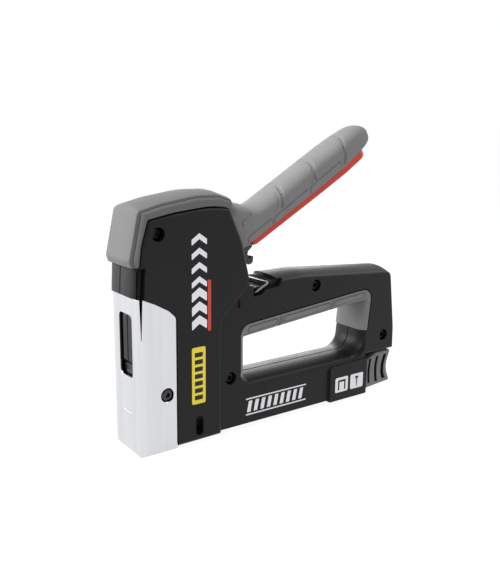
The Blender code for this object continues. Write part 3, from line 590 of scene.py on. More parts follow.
def hollow_cutters(side):
    """The spaces inside one half, with the screw bosses left standing."""
    spaces = []
    for name, corners, low, high, bosses in (
        ("tower_space", TOWER_HOLLOW, -1, 10.4, ("screw_tower",)),
        ("lever_space", LEVER_HOLLOW, -1.2, 13.1, ()),
        ("hook_well", HOOK_WELL, -1.1, HOOK_HALF + 0.6, ()),
        ("grip_space", GRIP_HOLLOW, -1, 11.8, ("screw_grip", "screw_rear")),
    ):
        space = plate(name, corners, side * low, side * high)
        for screw in bosses:
            x, z = SCREWS[screw]
            cut(space, bore("boss", (x, side * -2, z), "y", 0, side * 20, 4.3))
        spaces.append(space)
    for name, x_range, high, z_range in (
        ("magazine_space", (5.2, 166), 8.2, (-3, 19.6)),
        ("driver_space", (-4, 5.4), 11.4, (-3, 46.4)),
        ("window_space", (-4, 3.2), 8.3, (46, 75.4)),
    ):
        spaces.append(box(name, x_range, (side * -1, side * high), z_range))
    return spaces


def bail_recess_cutters(side):
    """The recess that the wire bail lies in, with a slab left just below the grip's crown."""
    front = box("bail_front", (68.6, 83.4), (side * -1, side * 11.2), (80.4, 95))
    layers = []
    for y, rear, floor in (
        (-1, 85.2, 84.5), (0.5, 85.2, 84.5), (3, 85.5, 84.4), (6, 86.4, 84),
        (9, 87.6, 83.3), (11, 88.6, 82.6), (13, 89.7, 81.9), (20, 93, 79),
    ):
        corners = [(80, floor, 0.2), (rear, floor, 0.6), (rear + 1.2, 95, 0.2), (80, 95, 0.2)]
        layers.append((y, outline(corners)))
    slab = side_loft("bail_slab", layers, side)
    flank = plate("bail_flank", BAIL_FLANK, side * (BAIL_HALF - 1.5), side * 20)
    hole = bore("bail_hole", (BAIL_X, side * 8, BAIL_Z), "y", 0, side * 4, 1.35, 20)
    return [front, slab, flank, hole]


def screw_hole_cutters(side):
    """Clearance holes and head recesses on the left, pilot holes on the right."""
    pilot, head = 1.75, 3.5
    cutters = []
    for name, (x, z) in SCREWS.items():
        face = TOWER_HALF if name == "screw_tower" else BODY_HALF
        if side < 0:
            profile = [
                (1, 1.9), (-10.4, 1.9), (-10.4, head), (0.35 - face, head), (0.1 - face, 3.6),
                (-face, 3.85), (-20, 4),
            ]
        else:
            profile = [(-1, pilot), (10.5, pilot)]
        cutters.append(turned("screw_hole", (x, 0, z), "y", profile))
    x, z = NOSE_SCREW
    for name, low, high, radius in (("nose_hole", 7, 12.1, pilot), ("nose_sink", 12, 17, head)):
        cutters.append(bore(name, (x, 0, z), "y", side * low, side * high, radius))
    return cutters


def flank_cutters(side):
    """The step for the nose cover, the magazine's side panel, the view slot and a small mark."""
    step = [(NOSE_HALF - SHEET - GAP, -GAP), (20, -GAP)]
    panel = [(51.9, 2.6, 0.8), (128.9, 2.6, 0.8), (128.9, 22.9, 0.8), (51.9, 22.6, 0.8)]
    slot = [(32.8, 4.4, 2), (37.2, 4.4, 2), (37.2, 15.2, 2), (32.8, 15.2, 2)]
    mark = [(59.7, 71.2, 0.5), (61.4, 71.2, 0.5), (61.4, 75.6, 0.8), (59.7, 75.6, 0.8)]
    return [
        inset_loft("nose_step", NOSE_SIDE, step, side),
        flared_cutter("side_panel", panel, side, PANEL_FACE, BODY_HALF, 0.2),
        flared_cutter("view_slot", slot, side, 7, TOWER_HALF, 0.4),
        flared_cutter("mark", mark, side, BODY_HALF - 1.1, BODY_HALF, 0.3),
    ]


def raised_block(side):
    """The raised block for the two picture tiles, with softened edges."""
    block = [(128.9, 1.5, 0.8), (160.4, 1.5, 0.8), (160.4, 25.2, 1.2), (128.9, 24.2, 1.2)]
    rows = [(11.5, 0), (BODY_HALF + 0.5, 0), (BODY_HALF + 0.8, 0.08), (BODY_HALF + 1, 0.25),
            (BLOCK_FACE, 0.5)]
    return inset_loft("raised_block", block, rows, side)


def window_boss(side):
    """The rounded ridge behind the cover's window, one on each half."""
    layers = []
    for z, inset in ((47.5, 0.9), (47.8, 0.4), (48.4, 0), (72, 0), (72.7, 0.4), (73.1, 1)):
        section = [(1.2 + inset, 0.3 + inset, 0.5), (1.2 + inset, 5.9 - inset, 1.4),
                   (4.5, 6 - inset, 0.2), (4.5, 0.3 + inset, 0.2)]
        layers.append((z, outline(section, steps=5)))
    return plan_loft("window_boss", layers, side)


def make_housing_half(tag, side):
    """One moulded half: tower, grip and magazine housing, hollowed for what it holds."""
    half = rounded_side("shell_" + tag, TOWER, side, TOWER_HALF, 2.4)
    combine(half, tower_plan(side), "INTERSECT")
    body = rounded_side("body", BODY, side, BODY_HALF, 1.9, 3, BODY_CROWN)
    cut(body, opening_cutter(side))
    join(half, body)
    cut(half, *flank_cutters(side))
    join(half, raised_block(side))
    cut(half, *hollow_cutters(side), *bail_recess_cutters(side), *screw_hole_cutters(side))
    join(half, window_boss(side))
    cut(half, bore("pivot_socket", (PIVOT_X, 0, PIVOT_Z), "y", side * 12, side * 14.3, 3.3))
    dress(half, NYLON, "housing", "housing", "housing_" + tag)


def make_nose_cover():
    """The bent, plated cover with its window, screw holes, bend reliefs and stamped marks."""
    bend, inner = 1.7, NOSE_HALF - SHEET
    outer = outline([(0, -NOSE_HALF, bend), (40, -NOSE_HALF, 0.3), (40, NOSE_HALF, 0.3),
                     (0, NOSE_HALF, bend)])
    space = outline([(SHEET, -inner, bend - SHEET), (50, -inner, 0.3), (50, inner, 0.3),
                     (SHEET, inner, bend - SHEET)])
    cover = plan_loft("nose_shell", [(-1, outer), (96, outer)])
    cut(cover, plan_loft("space", [(-5, space), (99, space)]))
    combine(cover, plate("side_view", NOSE_SIDE, -20, 20), "INTERSECT")
    window = outline([(-7.2, 40.6, 3), (7.2, 40.6, 3), (7.2, 73.6, 2.4), (-7.2, 73.6, 2.4)])
    window_z, rise = 57.1, 0.45
    rings = []
    for x, grow in ((-3, 1.08), (0, 1.03), (0.25, 1), (3, 1)):
        taller = 1 + (grow - 1) * rise
        rings.append([world(x, y * grow, window_z + (z - window_z) * taller) for y, z in window])
    cut(cover, loft("window", rings))
    x, z = NOSE_SCREW
    for side in (-1, 1):
        hole = [(side * 10, 3.7), (side * (NOSE_HALF - 0.25), 3.7), (side * NOSE_HALF, 3.95),
                (side * 18, 4.3)]
        relief = [(1.5, 58, 0.12), (2.75, 86, 0.3), (0.85, 86, 0.3)]
        cut(cover, turned("hole", (x, 0, z), "y", hole))
        cut(cover, plate("bend_relief", relief, side * 12, side * 17))
    for route in stamped_marks():
        cut(cover, wire("stamp", route, 0.42, 8))
    dress(cover, CHROME, "housing", "chrome_cover", "nose_cover")


def stamped_marks():
    """Shallow marks in the cover: a staple on the front and an arrow on each side."""
    out = 0.31
    staple = [(-out, 6, 5), (-out, 6, 21.2), (-out, -4.6, 21.2), (-out, -4.6, 5)]
    routes = [smooth_path(staple, 2)]
    for side in (-1, 1):
        y = side * (NOSE_HALF + out)
        for start_x, start_z in ((7, 9.6), (6, 4.4), (8, 4.4)):
            routes.append([(start_x, y, start_z), (7, y, 2.2)])
    return routes


def make_top_cap():
    """The soft cap: crowned on top, flat in front, with a fine groove beside its side bands.

    Each row is a share of the half width, then how far the top, front and bottom are drawn in.
    """
    half = CAP_HALF - 0.8  # leaves the tower's rounded edge showing as a ledge
    rows = [
        (0, 0, 0, 0), (0.12, 0.04, 0, 0), (0.25, 0.16, 0.02, 0), (0.4, 0.4, 0.06, 0),
        (0.55, 0.76, 0.14, 0), (0.68, 1.2, 0.3, 0), (0.78, 1.64, 0.5, 0), (0.84, 2, 0.68, 0),
        (0.868, 2.2, 0.8, 0.02), (0.876, 2.4, 1, 0.04), (0.884, 3, 1.9, 0.08),
        (0.893, 3.9, 3, 0.15), (0.903, 4.2, 3.4, 0.2), (0.915, 4, 3.2, 0.25),
        (0.928, 3.6, 2.8, 0.3), (0.94, 3.5, 2.75, 0.35), (0.955, 3.6, 2.95, 0.45),
        (0.97, 3.9, 3.3, 0.6), (0.985, 4.3, 3.8, 0.9), (0.994, 4.6, 4.1, 1.1), (1, 4.8, 4.3, 1.3),
    ]
    layers = []
    for share, top, front, bottom in mirrored(rows):
        insets = [0] * 6 + [0.8 * top, 0.9 * top, top, top, top, front, front, bottom]
        layers.append((share * half, outline(CAP, 0, 1, insets, 10)))
    # The cap's rubber is the grey rubber made darker as painted shade.
    dress(side_loft("soft_cap", layers), CAP_SHADED_RUBBER, "housing", "soft_grip", "top_cap", angle=60)


# ------------ finger opening pad
def pad_stretch(points, count):
    """The part of an opening outline that the pad covers, as evenly spaced points."""
    rear = min(i for i, (x, z) in enumerate(points) if x > 140 and z > PAD_REAR_Z)
    points = points[rear - 1:] + points[:rear - 1]
    front = min(i for i, (x, z) in enumerate(points) if x < 80 and z < PAD_FRONT_Z)

    def at_height(a, b, height):
        share = (height - a[1]) / (b[1] - a[1])
        return (a[0] + (b[0] - a[0]) * share, height)

    route = [at_height(points[0], points[1], PAD_REAR_Z), *points[1:front]]
    route.append(at_height(points[front - 1], points[front], PAD_FRONT_Z))
    route = np.array(route)
    length = np.concatenate([[0], np.cumsum(np.linalg.norm(np.diff(route, axis=0), axis=1))])
    even = np.linspace(0, length[-1], count)
    return np.stack([np.interp(even, length, route[:, 0]), np.interp(even, length, route[:, 1])], 1)


def nearest(points, route):
    """Distance from each of many points to a route of straight pieces."""
    best = np.full(len(points), np.inf)
    for start, end in zip(route, route[1:]):
        start, run = np.array(start), np.array(end) - np.array(start)
        share = np.clip((points - start) @ run / max(run @ run, TINY), 0, 1)
        best = np.minimum(best, np.linalg.norm(points - start - share[:, None] * run, axis=1))
    return best


def groove(points, route, half, depth):
    """How deep a rounded groove along a route goes at each point."""
    share = np.clip(1 - (nearest(points, route) / half) ** 2, 0, 1)
    return depth * share * share * (3 - 2 * share)


def carve(grid, across, grooves, column, up, fade=1):
    """Press grooves into a grid of surface points, alike on both sides of the middle plane.

    across is the step round the grid at each point. The surface faces up (1) or down (-1) at
    the given column of the middle row. fade scales the depth at each point.
    """
    normal = np.cross(np.gradient(grid, axis=0), across)
    normal /= np.maximum(np.linalg.norm(normal, axis=2, keepdims=True), TINY)
    normal *= np.sign(normal[len(grid) // 2, column, 2] * up)
    flat = grid.reshape(-1, 3)
    folded = np.column_stack([flat[:, 0], np.abs(flat[:, 1]), flat[:, 2]])
    depth = np.zeros(len(flat))
    for route, half, deep in grooves:
        depth = np.maximum(depth, groove(folded, route, half, deep))
    return (flat - normal.reshape(-1, 3) * (depth * fade)[:, None]).reshape(grid.shape)


def make_grip_pad():
    """The soft lining of the opening, with raised panels between moulded grooves.

    profile pairs y with the pad's thickness there, and back pairs y with the depth of its back.
    """
    count, steps = 520, 5
    profile = [(0, 9.8), (2.5, 9.8), (5, 9.7), (7, 9.5), (9, 9.1), (10.5, 8.5), (11.6, 7.6),
               (12.4, 6.5), (13, 5.2), (13.5, 3.8), (13.8, 2.3), (PAD_RIM, 0.85)]
    fine = []
    for (y0, t0), (y1, t1) in zip(profile, profile[1:]):
        fine += [(y0 + (y1 - y0) * k / steps, t0 + (t1 - t0) * k / steps) for k in range(steps)]
    fine.append(profile[-1])
    face = mirrored(fine)
    back = [(12, 1.3), (9, 2.5), (5, 3.5), (-5, 3.5), (-9, 2.5), (-12, 1.3)]
    outlines = [(y, outline(OPENING, 0, thickness, PAD_THICKNESS, 12)) for y, thickness in face]
    outlines += [(y, outline(OPENING, inset, steps=12)) for y, inset in back]
    columns = []
    for y, points in outlines:
        row = pad_stretch(points, count)
        columns.append(np.column_stack([row[:, 0], np.full(count, y), row[:, 1]]))
    grid = np.stack(columns, axis=1)
    shown = grid[:, :len(face)]
    fade = np.clip((PAD_RIM - np.abs(shown.reshape(-1, 3)[:, 1])) / 0.2, 0, 1)
    across = np.gradient(shown, axis=1)
    grid[:, :len(face)] = carve(shown, across, pad_grooves(), len(face) // 2, -1, fade)
    rings = [[world(*point) for point in ring] for ring in grid]
    dress(loft("soft_pad", rings), RUBBER, "housing", "soft_grip", "grip_pad", angle=55)


def pad_grooves():
    """Routes (x, y, z) of the pad's grooves for y >= 0, with their half width and depth."""
    corner_x, corner_z, slope = 62, 61.4, 0.0977  # the opening's top line

    def on_pad(x, drop, y):
        return (x, y, corner_z + (x - corner_x) * slope - drop)

    routes = []
    for low, high in ((68, 88.4), (92.8, 128), (132.4, 157)):
        panel = [(low + 1, 2.6, 13.75), (high - 1, 2.6, 13.75), (high, 3.6, 13.55),
                 (high, 5.4, 12.95), (high - 1, 6.6, 12.35), (low + 1, 6.6, 12.35),
                 (low, 5.4, 12.95), (low, 3.6, 13.55), (low + 1, 2.6, 13.75)]
        routes.append(([on_pad(*spot) for spot in panel], 0.55, 0.75))
    notch = [(1.6, 13.9), (5, 13.05), (7.6, 11.6), (9, 9.2), (9.7, 5), (9.8, 0)]
    for x in (90.6, 130.2):
        routes.append(([on_pad(x, drop, y) for drop, y in notch], 1.3, 1.2))
    return routes


# ------------ screws
def star(radius):
    """A six-lobed socket outline as (a, b) pairs."""
    lobes, per_lobe, depth_share = 6, 8, 0.24
    count = lobes * per_lobe
    ring = []
    for i in range(count):
        angle = 2 * math.pi * i / count
        reach = radius * (1 - depth_share * (0.5 - 0.5 * math.cos(lobes * angle)) ** 0.8)
        ring.append((reach * math.cos(angle), reach * math.sin(angle)))
    return ring


def make_screw(node, look):
    """A pan-head screw with a six-lobed socket, in the place of its CAD node."""
    low, high = span(node, "y")
    side = -1 if low + high < 0 else 1
    head, tip = (low, high) if side < 0 else (high, low)
    x, z = middle(node, "x"), middle(node, "z")
    under = head - side * 2
    profile = [(tip, 0.5), (tip + side * 1.6, 1.4), (under, 1.45), (under, 3),
               (under + side * 0.12, 3.1), (head - side * 0.9, 3.1), (head - side * 0.5, 2.95),
               (head - side * 0.2, 2.55), (head - side * 0.05, 2), (head, 1.5)]
    screw = turned("socket_" + node, (x, 0, z), "y", profile)
    rings = []
    for y, radius in ((head - side * 1.4, 1.5), (head - side * 0.25, 1.5), (head + side * 0.3, 1.75)):
        rings.append([world(x + a, y, z + b) for a, b in star(radius)])
    cut(screw, loft("socket", rings))
    dress(screw, look, "housing", "black_screw", node)


# ------------ lever
TOP_LINE = [(7, 10.9), (14, 11.3), (19, 11), (22, 9.4), (25, 6.4), (27.5, 3.8),
            (31, 2.5), (36, 2.2), (60, 2.6), (85, 3), (100, 3.1), (108, 3),
            (114, 2.7)]
BOTTOM_LINE = [(7, -12.6), (75, -12.6), (95, -12.2), (108, -11.5), (116, -11.1)]
TIP_START, TIP_END, TIP_V = 112, 126.4, -7.6
CROWN_DROP = 6.2
ROUND = 0.9  # how square the crown's section is; 1 is an ellipse


def soft_line(line, u):
    """Height of a given line at u, with its corners eased."""
    spots = np.array([point[0] for point in line])
    heights = np.array([point[1] for point in line])
    reach = np.linspace(-2, 2, 9)
    shares = np.exp(-(reach / 1.1) ** 2)
    return sum(s * np.interp(u + r, spots, heights) for r, s in zip(reach, shares)) / shares.sum()


def tip_share(u):
    """1 along the lever, closing to 0 over its rounded end."""
    share = np.clip((u - TIP_START) / (TIP_END - TIP_START), 0, 1)
    return (1 - share ** 2) ** 0.5


def lever_section(u):
    """Top, bottom, half width and crown drop of the lever grip at u."""
    close = tip_share(u)
    top = TIP_V + (soft_line(TOP_LINE, u) - TIP_V) * close
    bottom = TIP_V + (soft_line(BOTTOM_LINE, u) - TIP_V) * close
    narrow = np.clip((u - 92) / 30, 0, 1)
    half = (LEVER_HALF - 2.8 * narrow * narrow * (3 - 2 * narrow)) * close ** 0.85
    return top, bottom, half, CROWN_DROP * close


def crown_point(u, drop):
    """A point (u, y, v) of the grip's surface, drop below its top line."""
    top, _, half, crown = lever_section(u)
    if drop >= crown:
        return (u, half, top - drop)
    cosine = (1 - drop / crown) ** (1 / ROUND)
    return (u, half * math.sin(math.acos(cosine)) ** ROUND, top - drop)


def crown_route(points):
    """Surface points through (u, v) pairs seen from the side, v None meaning the top."""
    def spot(u, v):
        return crown_point(u, 0 if v is None else max(lever_section(u)[0] - v, 0))

    steps = 5
    route = [spot(u, v) for u, v in points]
    fine = []
    for a, b in zip(route, route[1:]):
        for k in range(steps):
            fine.append(spot(a[0] + (b[0] - a[0]) * k / steps, a[2] + (b[2] - a[2]) * k / steps))
    return [*fine, route[-1]]


def grip_grooves():
    """The grip's moulded lines for y >= 0: finger arcs, side panels and soft creases."""
    arcs = [
        [(51.2, None), (49.6, 1.4), (47.8, -0.5), (46.7, -3.7), (44.4, -6.7)],
        [(76.6, None), (75.2, 1.4), (73.6, -0.6), (73.2, -4), (72.6, -6.2)],
        [(104, None), (101.6, 1.2), (99, -2.2), (98.7, -6), (95.8, -9.4)],
    ]
    panels = [
        [(15.6, -11.4), (15.8, -9.4), (17.3, -8.8), (34, -8.7), (35, -9.4), (34.6, -11.6)],
        [(35.9, -12.2), (36.6, -9.8), (39.6, -9.1), (50, -8.7), (63.5, -8.3)],
        [(65.3, -12.2), (66.2, -9.2), (69.2, -8.2), (80, -7.8), (92.7, -7.3), (92.9, -9.6)],
    ]
    creases = [
        [(45.8, 0.8), (44.6, -1.4), (43.5, -3.2), (39.6, -6.2), (35.8, -9.8)],
        [(72.5, -0.8), (70.9, -4), (69.3, -5.9), (66.4, -8.6)],
    ]
    horn = [(27, None), (26.4, 3), (25.4, 2), (24.1, 1.2), (20, 0.9), (17.2, 0.6), (16.4, -1.6)]
    kinds = ((arcs, 1.45, 0.95), (panels, 0.6, 0.6), (creases, 0.9, 0.35), ([horn], 0.6, 0.5))
    return [(crown_route(line), half, depth) for lines, half, depth in kinds for line in lines]


def make_lever_grip():
    """The soft cover of the lever, hollow underneath for the core."""
    turn = np.linspace(0, math.pi / 2, 30)[:-1]
    tip_u = TIP_START + (TIP_END - TIP_START) * np.sin(turn)
    rings = []
    for u in [*np.arange(8, TIP_START, 0.3), *tip_u]:
        top, bottom, half, crown = lever_section(u)
        ring = []
        for angle in np.linspace(0, math.pi / 2, 42):
            fall = crown * (1 - max(math.cos(angle), 0) ** ROUND)
            ring.append((half * math.sin(angle) ** ROUND, top - fall))
        lowest = bottom + min(0.5, half * 0.2)
        for share in np.linspace(0, 1, 30)[1:]:
            ring.append((half, top - crown + (lowest - top + crown) * share))
        ring.append((half - min(0.2, half * 0.1), bottom + min(0.12, half * 0.1)))
        ring.append((half - min(0.6, half * 0.3), bottom))
        rings.append([(u, y, v) for y, v in ring] + [(u, -y, v) for y, v in reversed(ring[1:])])
    grid = np.array(rings)
    across = np.roll(grid, -1, axis=1) - np.roll(grid, 1, axis=1)
    grid = carve(grid, across, grip_grooves(), 0, 1)
    grip = loft("soft_lever_grip", [lever_ring(ring) for ring in grid])
    reach = CORE_HALF + CORE_HOLE
    cut(grip, plate("core_space", lever_corners(LEVER_GRIP_HOLLOW), -reach, reach))
    cut(grip, bore("hub_space", (PIVOT_X, 0, PIVOT_Z), "y", -20, 20, HUB_HOLE, 64))
    dress(grip, RUBBER, "lever", "soft_grip", "lever_grip", angle=60)


def make_lever_insert():
    """The hard red strip under the lever, with a rounded end."""
    lower = [(17, -15.9), (40, -16.1), (70, -16.4), (95, -16.4), (108, -16.1), (118, -15.5)]
    start, end_start, end, end_run = 18.3, 109.5, 117, 7.6
    rings = []
    for u in [*np.arange(start, 110, 2), *np.linspace(110, end, 22)]:
        narrow = np.clip((u - 88) / 30, 0, 1)
        close = np.clip((u - end_start) / end_run, 0, 1)
        half = INSERT_HALF - 1.4 * narrow * narrow * (3 - 2 * narrow)
        half *= math.sqrt(1 - close ** 2)
        top, bottom = -12.7 + 1.9 * narrow, soft_line(lower, u)
        ease = 0.5 if u == start else 0
        edge = min(1, half * 0.4)
        section = [(-half + ease, bottom + ease, edge), (half - ease, bottom + ease, edge),
                   (half - ease, top - ease, 0.3), (-half + ease, top - ease, 0.3)]
        rings.append(lever_ring([(u, y, v) for y, v in outline(section, steps=6)]))
    dress(loft("red_lever_strip", rings), RED, "lever", "red_insert", "lever_insert")


def make_lever_hook():
    """The steel hook under the lever, on a tongue between the lever's side plates."""
    half = HOOK_HALF - 0.6
    hook = plate("slim_hook", lever_corners(LEVER_HOOK), -half, half)
    tongue = [(9.4, -19.3, 0.5), (13.8, -19.3, 0.5), (13.8, -2.4, 0.5), (9.4, -2.4, 0.5)]
    join(hook, plate("tongue", lever_corners(tongue), -half, half))
    pin = (middle("hook_pin", "x"), 0, middle("hook_pin", "z"))
    cut(hook, bore("hole", pin, "y", -20, 20, 1.5))
    dress(hook, DARK_STEEL, "lever", "dark_steel", "lever_hook")


# ------------ magazine
def make_knob():
    """The drawer knob, with three curved slots in each side, their walls painted near-black as shade.
    """
    rows = [(0, 0), (11.3, 0), (11.8, 0.06), (12.2, 0.22), (12.5, 0.55), (KNOB_HALF, 1)]
    knob = inset_loft("drawer_knob", KNOB, mirrored(rows))
    for top, belly, low, half in (
        ((165.8, 22.6), (164.8, 14.6), (165.4, 6.4), 0.85),
        ((172.2, 23.4), (170.9, 15.6), (172, 6.3), 1.05),
        ((179.2, 23.6), (177, 14.4), (178.9, 7.2), 1.3),
    ):
        for side in (-1, 1):
            cut(knob, slot_cutter(top, belly, low, half, side))
    cut(knob, bore("rod_hole", (0, 0, middle("pusher_rod", "z")), "x", 150, 174, 1.5, 24))
    cut(knob, bore("rivet_hole", (middle("knob_rivet", "x"), 0, 0), "z", 0, 6, 1.6, 24))
    dress(knob, RUBBER, "magazine", "soft_grip", "magazine_knob")
    # The walls deep in the slots get the near-black rubber: painted shade where the grey rubber would
    # lie in shadow.
    knob.data.materials.append(DARK_RUBBER_AND_SLOT_SHADE)
    for face in knob.data.polygons:
        if KNOB_HALF - 3.6 < abs(face.center.y) / MM < KNOB_HALF - 1.4:
            face.material_index = 1


def slot_cutter(top, belly, low, half, side):
    """A bowed slot through three middle points, deep, with a softened mouth; its dark walls are
    painted shade, set in make_knob.
    """
    top, belly, low = Vector(top), Vector(belly), Vector(low)
    line = curve(top, belly * 2 - (top + low) / 2, low, 12)
    layers = []
    for y, grow in ((KNOB_HALF - 3.4, 0), (KNOB_HALF - 0.3, 0), (KNOB_HALF, 0.18), (16, 0.3)):
        reach, ends = Vector((half + grow, 0)), Vector((0, grow))
        left = [point - reach for point in line]
        right = [point + reach for point in reversed(line)]
        left[0], right[-1] = left[0] + ends, right[-1] + ends
        left[-1], right[0] = left[-1] - ends, right[0] - ends
        layers.append((y, left + right))
    return side_loft("knob_slot", layers, side)


def make_staples():
    """The strip of staples, each one bent from its own wire."""
    (low_x, high_x), (foot, top) = span("staple_strip", "x"), span("staple_strip", "z")
    half = half_width("staple_strip")
    pitch, wire_half, wire_depth, bend, soft = 0.9, 0.42, 1.1, 1.4, 0.12
    legs = []
    for inset in (0, wire_depth):
        points = outline(
            [(-half + inset, foot, 0.16), (half - inset, foot, 0.16),
             (half - inset, top - inset, bend - inset), (-half + inset, top - inset, bend - inset)],
            steps=5)
        arch = [point for point in points if point[1] > foot + 0.5]
        legs.append([(arch[0][0], foot), *arch, (-arch[0][0], foot)])
    section = [(y, z, 1) for y, z in legs[0]] + [(y, z, -1) for y, z in reversed(legs[1])]
    edge = wire_half - soft
    solids = []
    for i in range(int((high_x - low_x) / pitch)):
        x = low_x + pitch * (i + 0.5)
        rings = []
        for shift, ease in ((-wire_half, soft), (-edge, 0), (edge, 0), (wire_half, soft)):
            ring = []
            for y, z, out in section:
                scale = 1 - out * ease / half
                ring.append(world(x + shift, y * scale, foot + (z - foot) * scale))
            rings.append(ring)
        solids.append(rings)
    dress(loft("staples", *solids), WIRE, "housing", "staple_wire", "staple_strip")


def coil(name, node, axis, wire_radius, turns):
    """A compression spring that fills its CAD node's box, with closed flat end turns."""
    per_turn, closed, flat = 28, 0.8, 0.02
    start, end = span(node, axis)
    first, second = [other for other in "xyz" if other != axis]
    low, high = span(node, first)
    radius = (high - low) / 2 - wire_radius
    first_middle, second_middle = middle(node, first), middle(node, second)
    count = int(turns * per_turn)
    points = []
    for i in range(count + 1):
        turn = i / count * turns
        rise = np.interp(turn, [0, closed, turns - closed, turns], [0, flat, 1 - flat, 1])
        angle = 2 * math.pi * turn
        spot = {
            axis: start + wire_radius + (end - start - 2 * wire_radius) * rise,
            first: first_middle + radius * math.cos(angle),
            second: second_middle + radius * math.sin(angle),
        }
        points.append([spot[letter] for letter in "xyz"])
    return wire(name, points, wire_radius, 10)


def make_main_spring():
    """The driving spring, coiled in its CAD node's box."""
    spring = coil("fine_main_spring", "main_spring", "z", 0.95, 8.5)
    dress(spring, STEEL, "housing", "bright_steel", "main_spring")
    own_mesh(spring)


def make_pusher_spring():
    """The pusher's long spring, coiled along its rod in its CAD node's box."""
    spring = coil("fine_pusher_spring", "pusher_spring", "x", 0.4, 30)
    dress(spring, STEEL, "magazine", "bright_steel", "pusher_spring")
    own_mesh(spring)


def make_rod():
    """The pusher's guide rod."""
    low, high = span("pusher_rod", "x")
    length, radius = high - low, half_width("pusher_rod") - middle("pusher_rod", "y")
    profile = [(0, 0.5 * radius), (0.25, 0.8 * radius), (0.7, radius), (length - 0.3, radius),
               (length, 0.85 * radius)]
    rod = turned("guide_rod", (low, 0, middle("pusher_rod", "z")), "x", profile, 24)
    dress(rod, STEEL, "magazine", "bright_steel", "pusher_rod")


# ------------ bail
def make_bail():
    """The wire bail that locks the lever down."""
    corners = [(BAIL_X, -8.6, BAIL_Z), (BAIL_X, -BAIL_HALF, BAIL_Z),
               (BAIL_TOP_X, -BAIL_HALF, BAIL_TOP_Z)]
    corners += [(x, -y, z) for x, y, z in reversed(corners)]
    bail = wire("wire_bail", smooth_path(corners, 2), 0.62, 18)
    dress(bail, BAIL_STEEL, "bail", "bright_steel", "lock_bail")


# ------------ printed areas
def decal(name, corners, side, face, look):
    """A thin printed shape on a flank, given by its side-view outline; ink lies on top."""
    rise = 0.1 if look is INK else 0.06
    rows = [(face - 0.2, 0), (face + rise * 0.6, 0), (face + rise, 0.03)]
    dress(inset_loft(name, corners, rows, side, 4), look, "housing", "housing")


def bar(x, z, width, height, radius, slant=0):
    """Corners of a bar that leans by slant over its height."""
    return [(x, z, radius), (x + width, z, radius), (x + width + slant, z + height, radius),
            (x + slant, z + height, radius)]


def tower_graphics():
    """A yellow label with dark bars, a column of pale chevrons and a red line."""
    shapes = [("label", bar(30, 22.6, 8.4, 31.4, 1), YELLOW)]
    for k in range(7):
        shapes.append((f"label_bar_{k}", bar(31.7, 24.9 + 3.95 * k, 5, 2.5, 0.3), INK))
    for k in range(7):
        low = 63.4 + 7.4 * k
        peak, wide = low + 3.2, 4.6 if k < 3 else 3
        chevron = [(30.2, low), (34.75, peak), (39.3, low), (39.3, low + wide), (34.75, peak + wide),
                   (30.2, low + wide)]
        shapes.append((f"chevron_{k}", [(x, z, 0.3) for x, z in chevron], WHITE))
    return shapes + [("red_line", bar(39.9, 61.9, 1.9, 27.4, 0.3), RED_INK)]


def panel_graphics():
    """Two pale rules with slanted bars between them."""
    shapes = [("rule_high", bar(66.5, 16.8, 44.2, 0.8, 0.25), WHITE),
              ("rule_low", bar(66.5, 7.4, 44.2, 0.8, 0.25), WHITE)]
    for k in range(9):
        shapes.append((f"bar_{k}", bar(67.2 + 4.7 * k, 9.2, 2.5, 6.6, 0.25, 1.3), WHITE))
    return shapes


def block_graphics():
    """Two picture tiles: a staple and a nail."""
    staple = [(135.4, 8.4, 0.2), (136.6, 8.4, 0.2), (136.6, 13.6, 0.3), (140.6, 13.6, 0.3),
              (140.6, 8.4, 0.2), (141.8, 8.4, 0.2), (141.8, 14.9, 0.5), (135.4, 14.9, 0.5)]
    nail = [(151.1, 8.2, 0.1), (151.6, 8.2, 0.1), (151.9, 13.4, 0.2), (152.8, 13.9, 0.3),
            (152.8, 14.9, 0.3), (149.9, 14.9, 0.3), (149.9, 13.9, 0.3), (150.8, 13.4, 0.2)]
    return [("tile_front", bar(133.2, 7, 10.6, 9.6, 1), WHITE),
            ("tile_rear", bar(145.9, 7, 11, 9.6, 1), WHITE),
            ("staple_picture", staple, INK), ("nail_picture", nail, INK)]


def make_graphics(tag, side):
    """All the printed shapes of one flank."""
    for face, shapes in ((TOWER_HALF, tower_graphics()), (PANEL_FACE, panel_graphics()),
                         (BLOCK_FACE, block_graphics())):
        for name, corners, look in shapes:
            decal(f"{name}_{tag}", corners, side, face, look)


# ------------ carried-over CAD nodes
CARRIED = {
    "lever_core": DARK_STEEL, "hook_pin": STEEL, "pivot_pin": STEEL,
    "pivot_bush_left": PIN_NYLON, "pivot_bush_right": PIN_NYLON, "spring_seat": STEEL,
    "bumper": DARK_RUBBER_AND_SLOT_SHADE, "driver_guide": DARK_STEEL, "magazine_channel": STEEL,
    "striker_carriage": DARK_STEEL, "lift_pin_left": STEEL, "lift_pin_right": STEEL,
    "driver_blade": STEEL, "magazine_rail": STEEL, "knob_rivet": STEEL,
    "staple_pusher": DARK_STEEL, "lever_return_spring": STEEL,
}


def dress_carried_nodes():
    """The CAD nodes that stay: their own look, and softened edges."""
    for name, look in CARRIED.items():
        node = frame["nodes"][name]
        node.data.materials.clear()
        node.data.materials.append(look)
        weld = node.modifiers.new("weld", "WELD")
        weld.merge_threshold = 0.00001
        soften = node.modifiers.new("soften", "BEVEL")
        soften.width = 0.00018
        soften.segments = 2
        soften.limit_method = "ANGLE"
        soften.angle_limit = math.radians(40)
        even = node.modifiers.new("even_shading", "WEIGHTED_NORMAL")
        even.keep_sharp = True


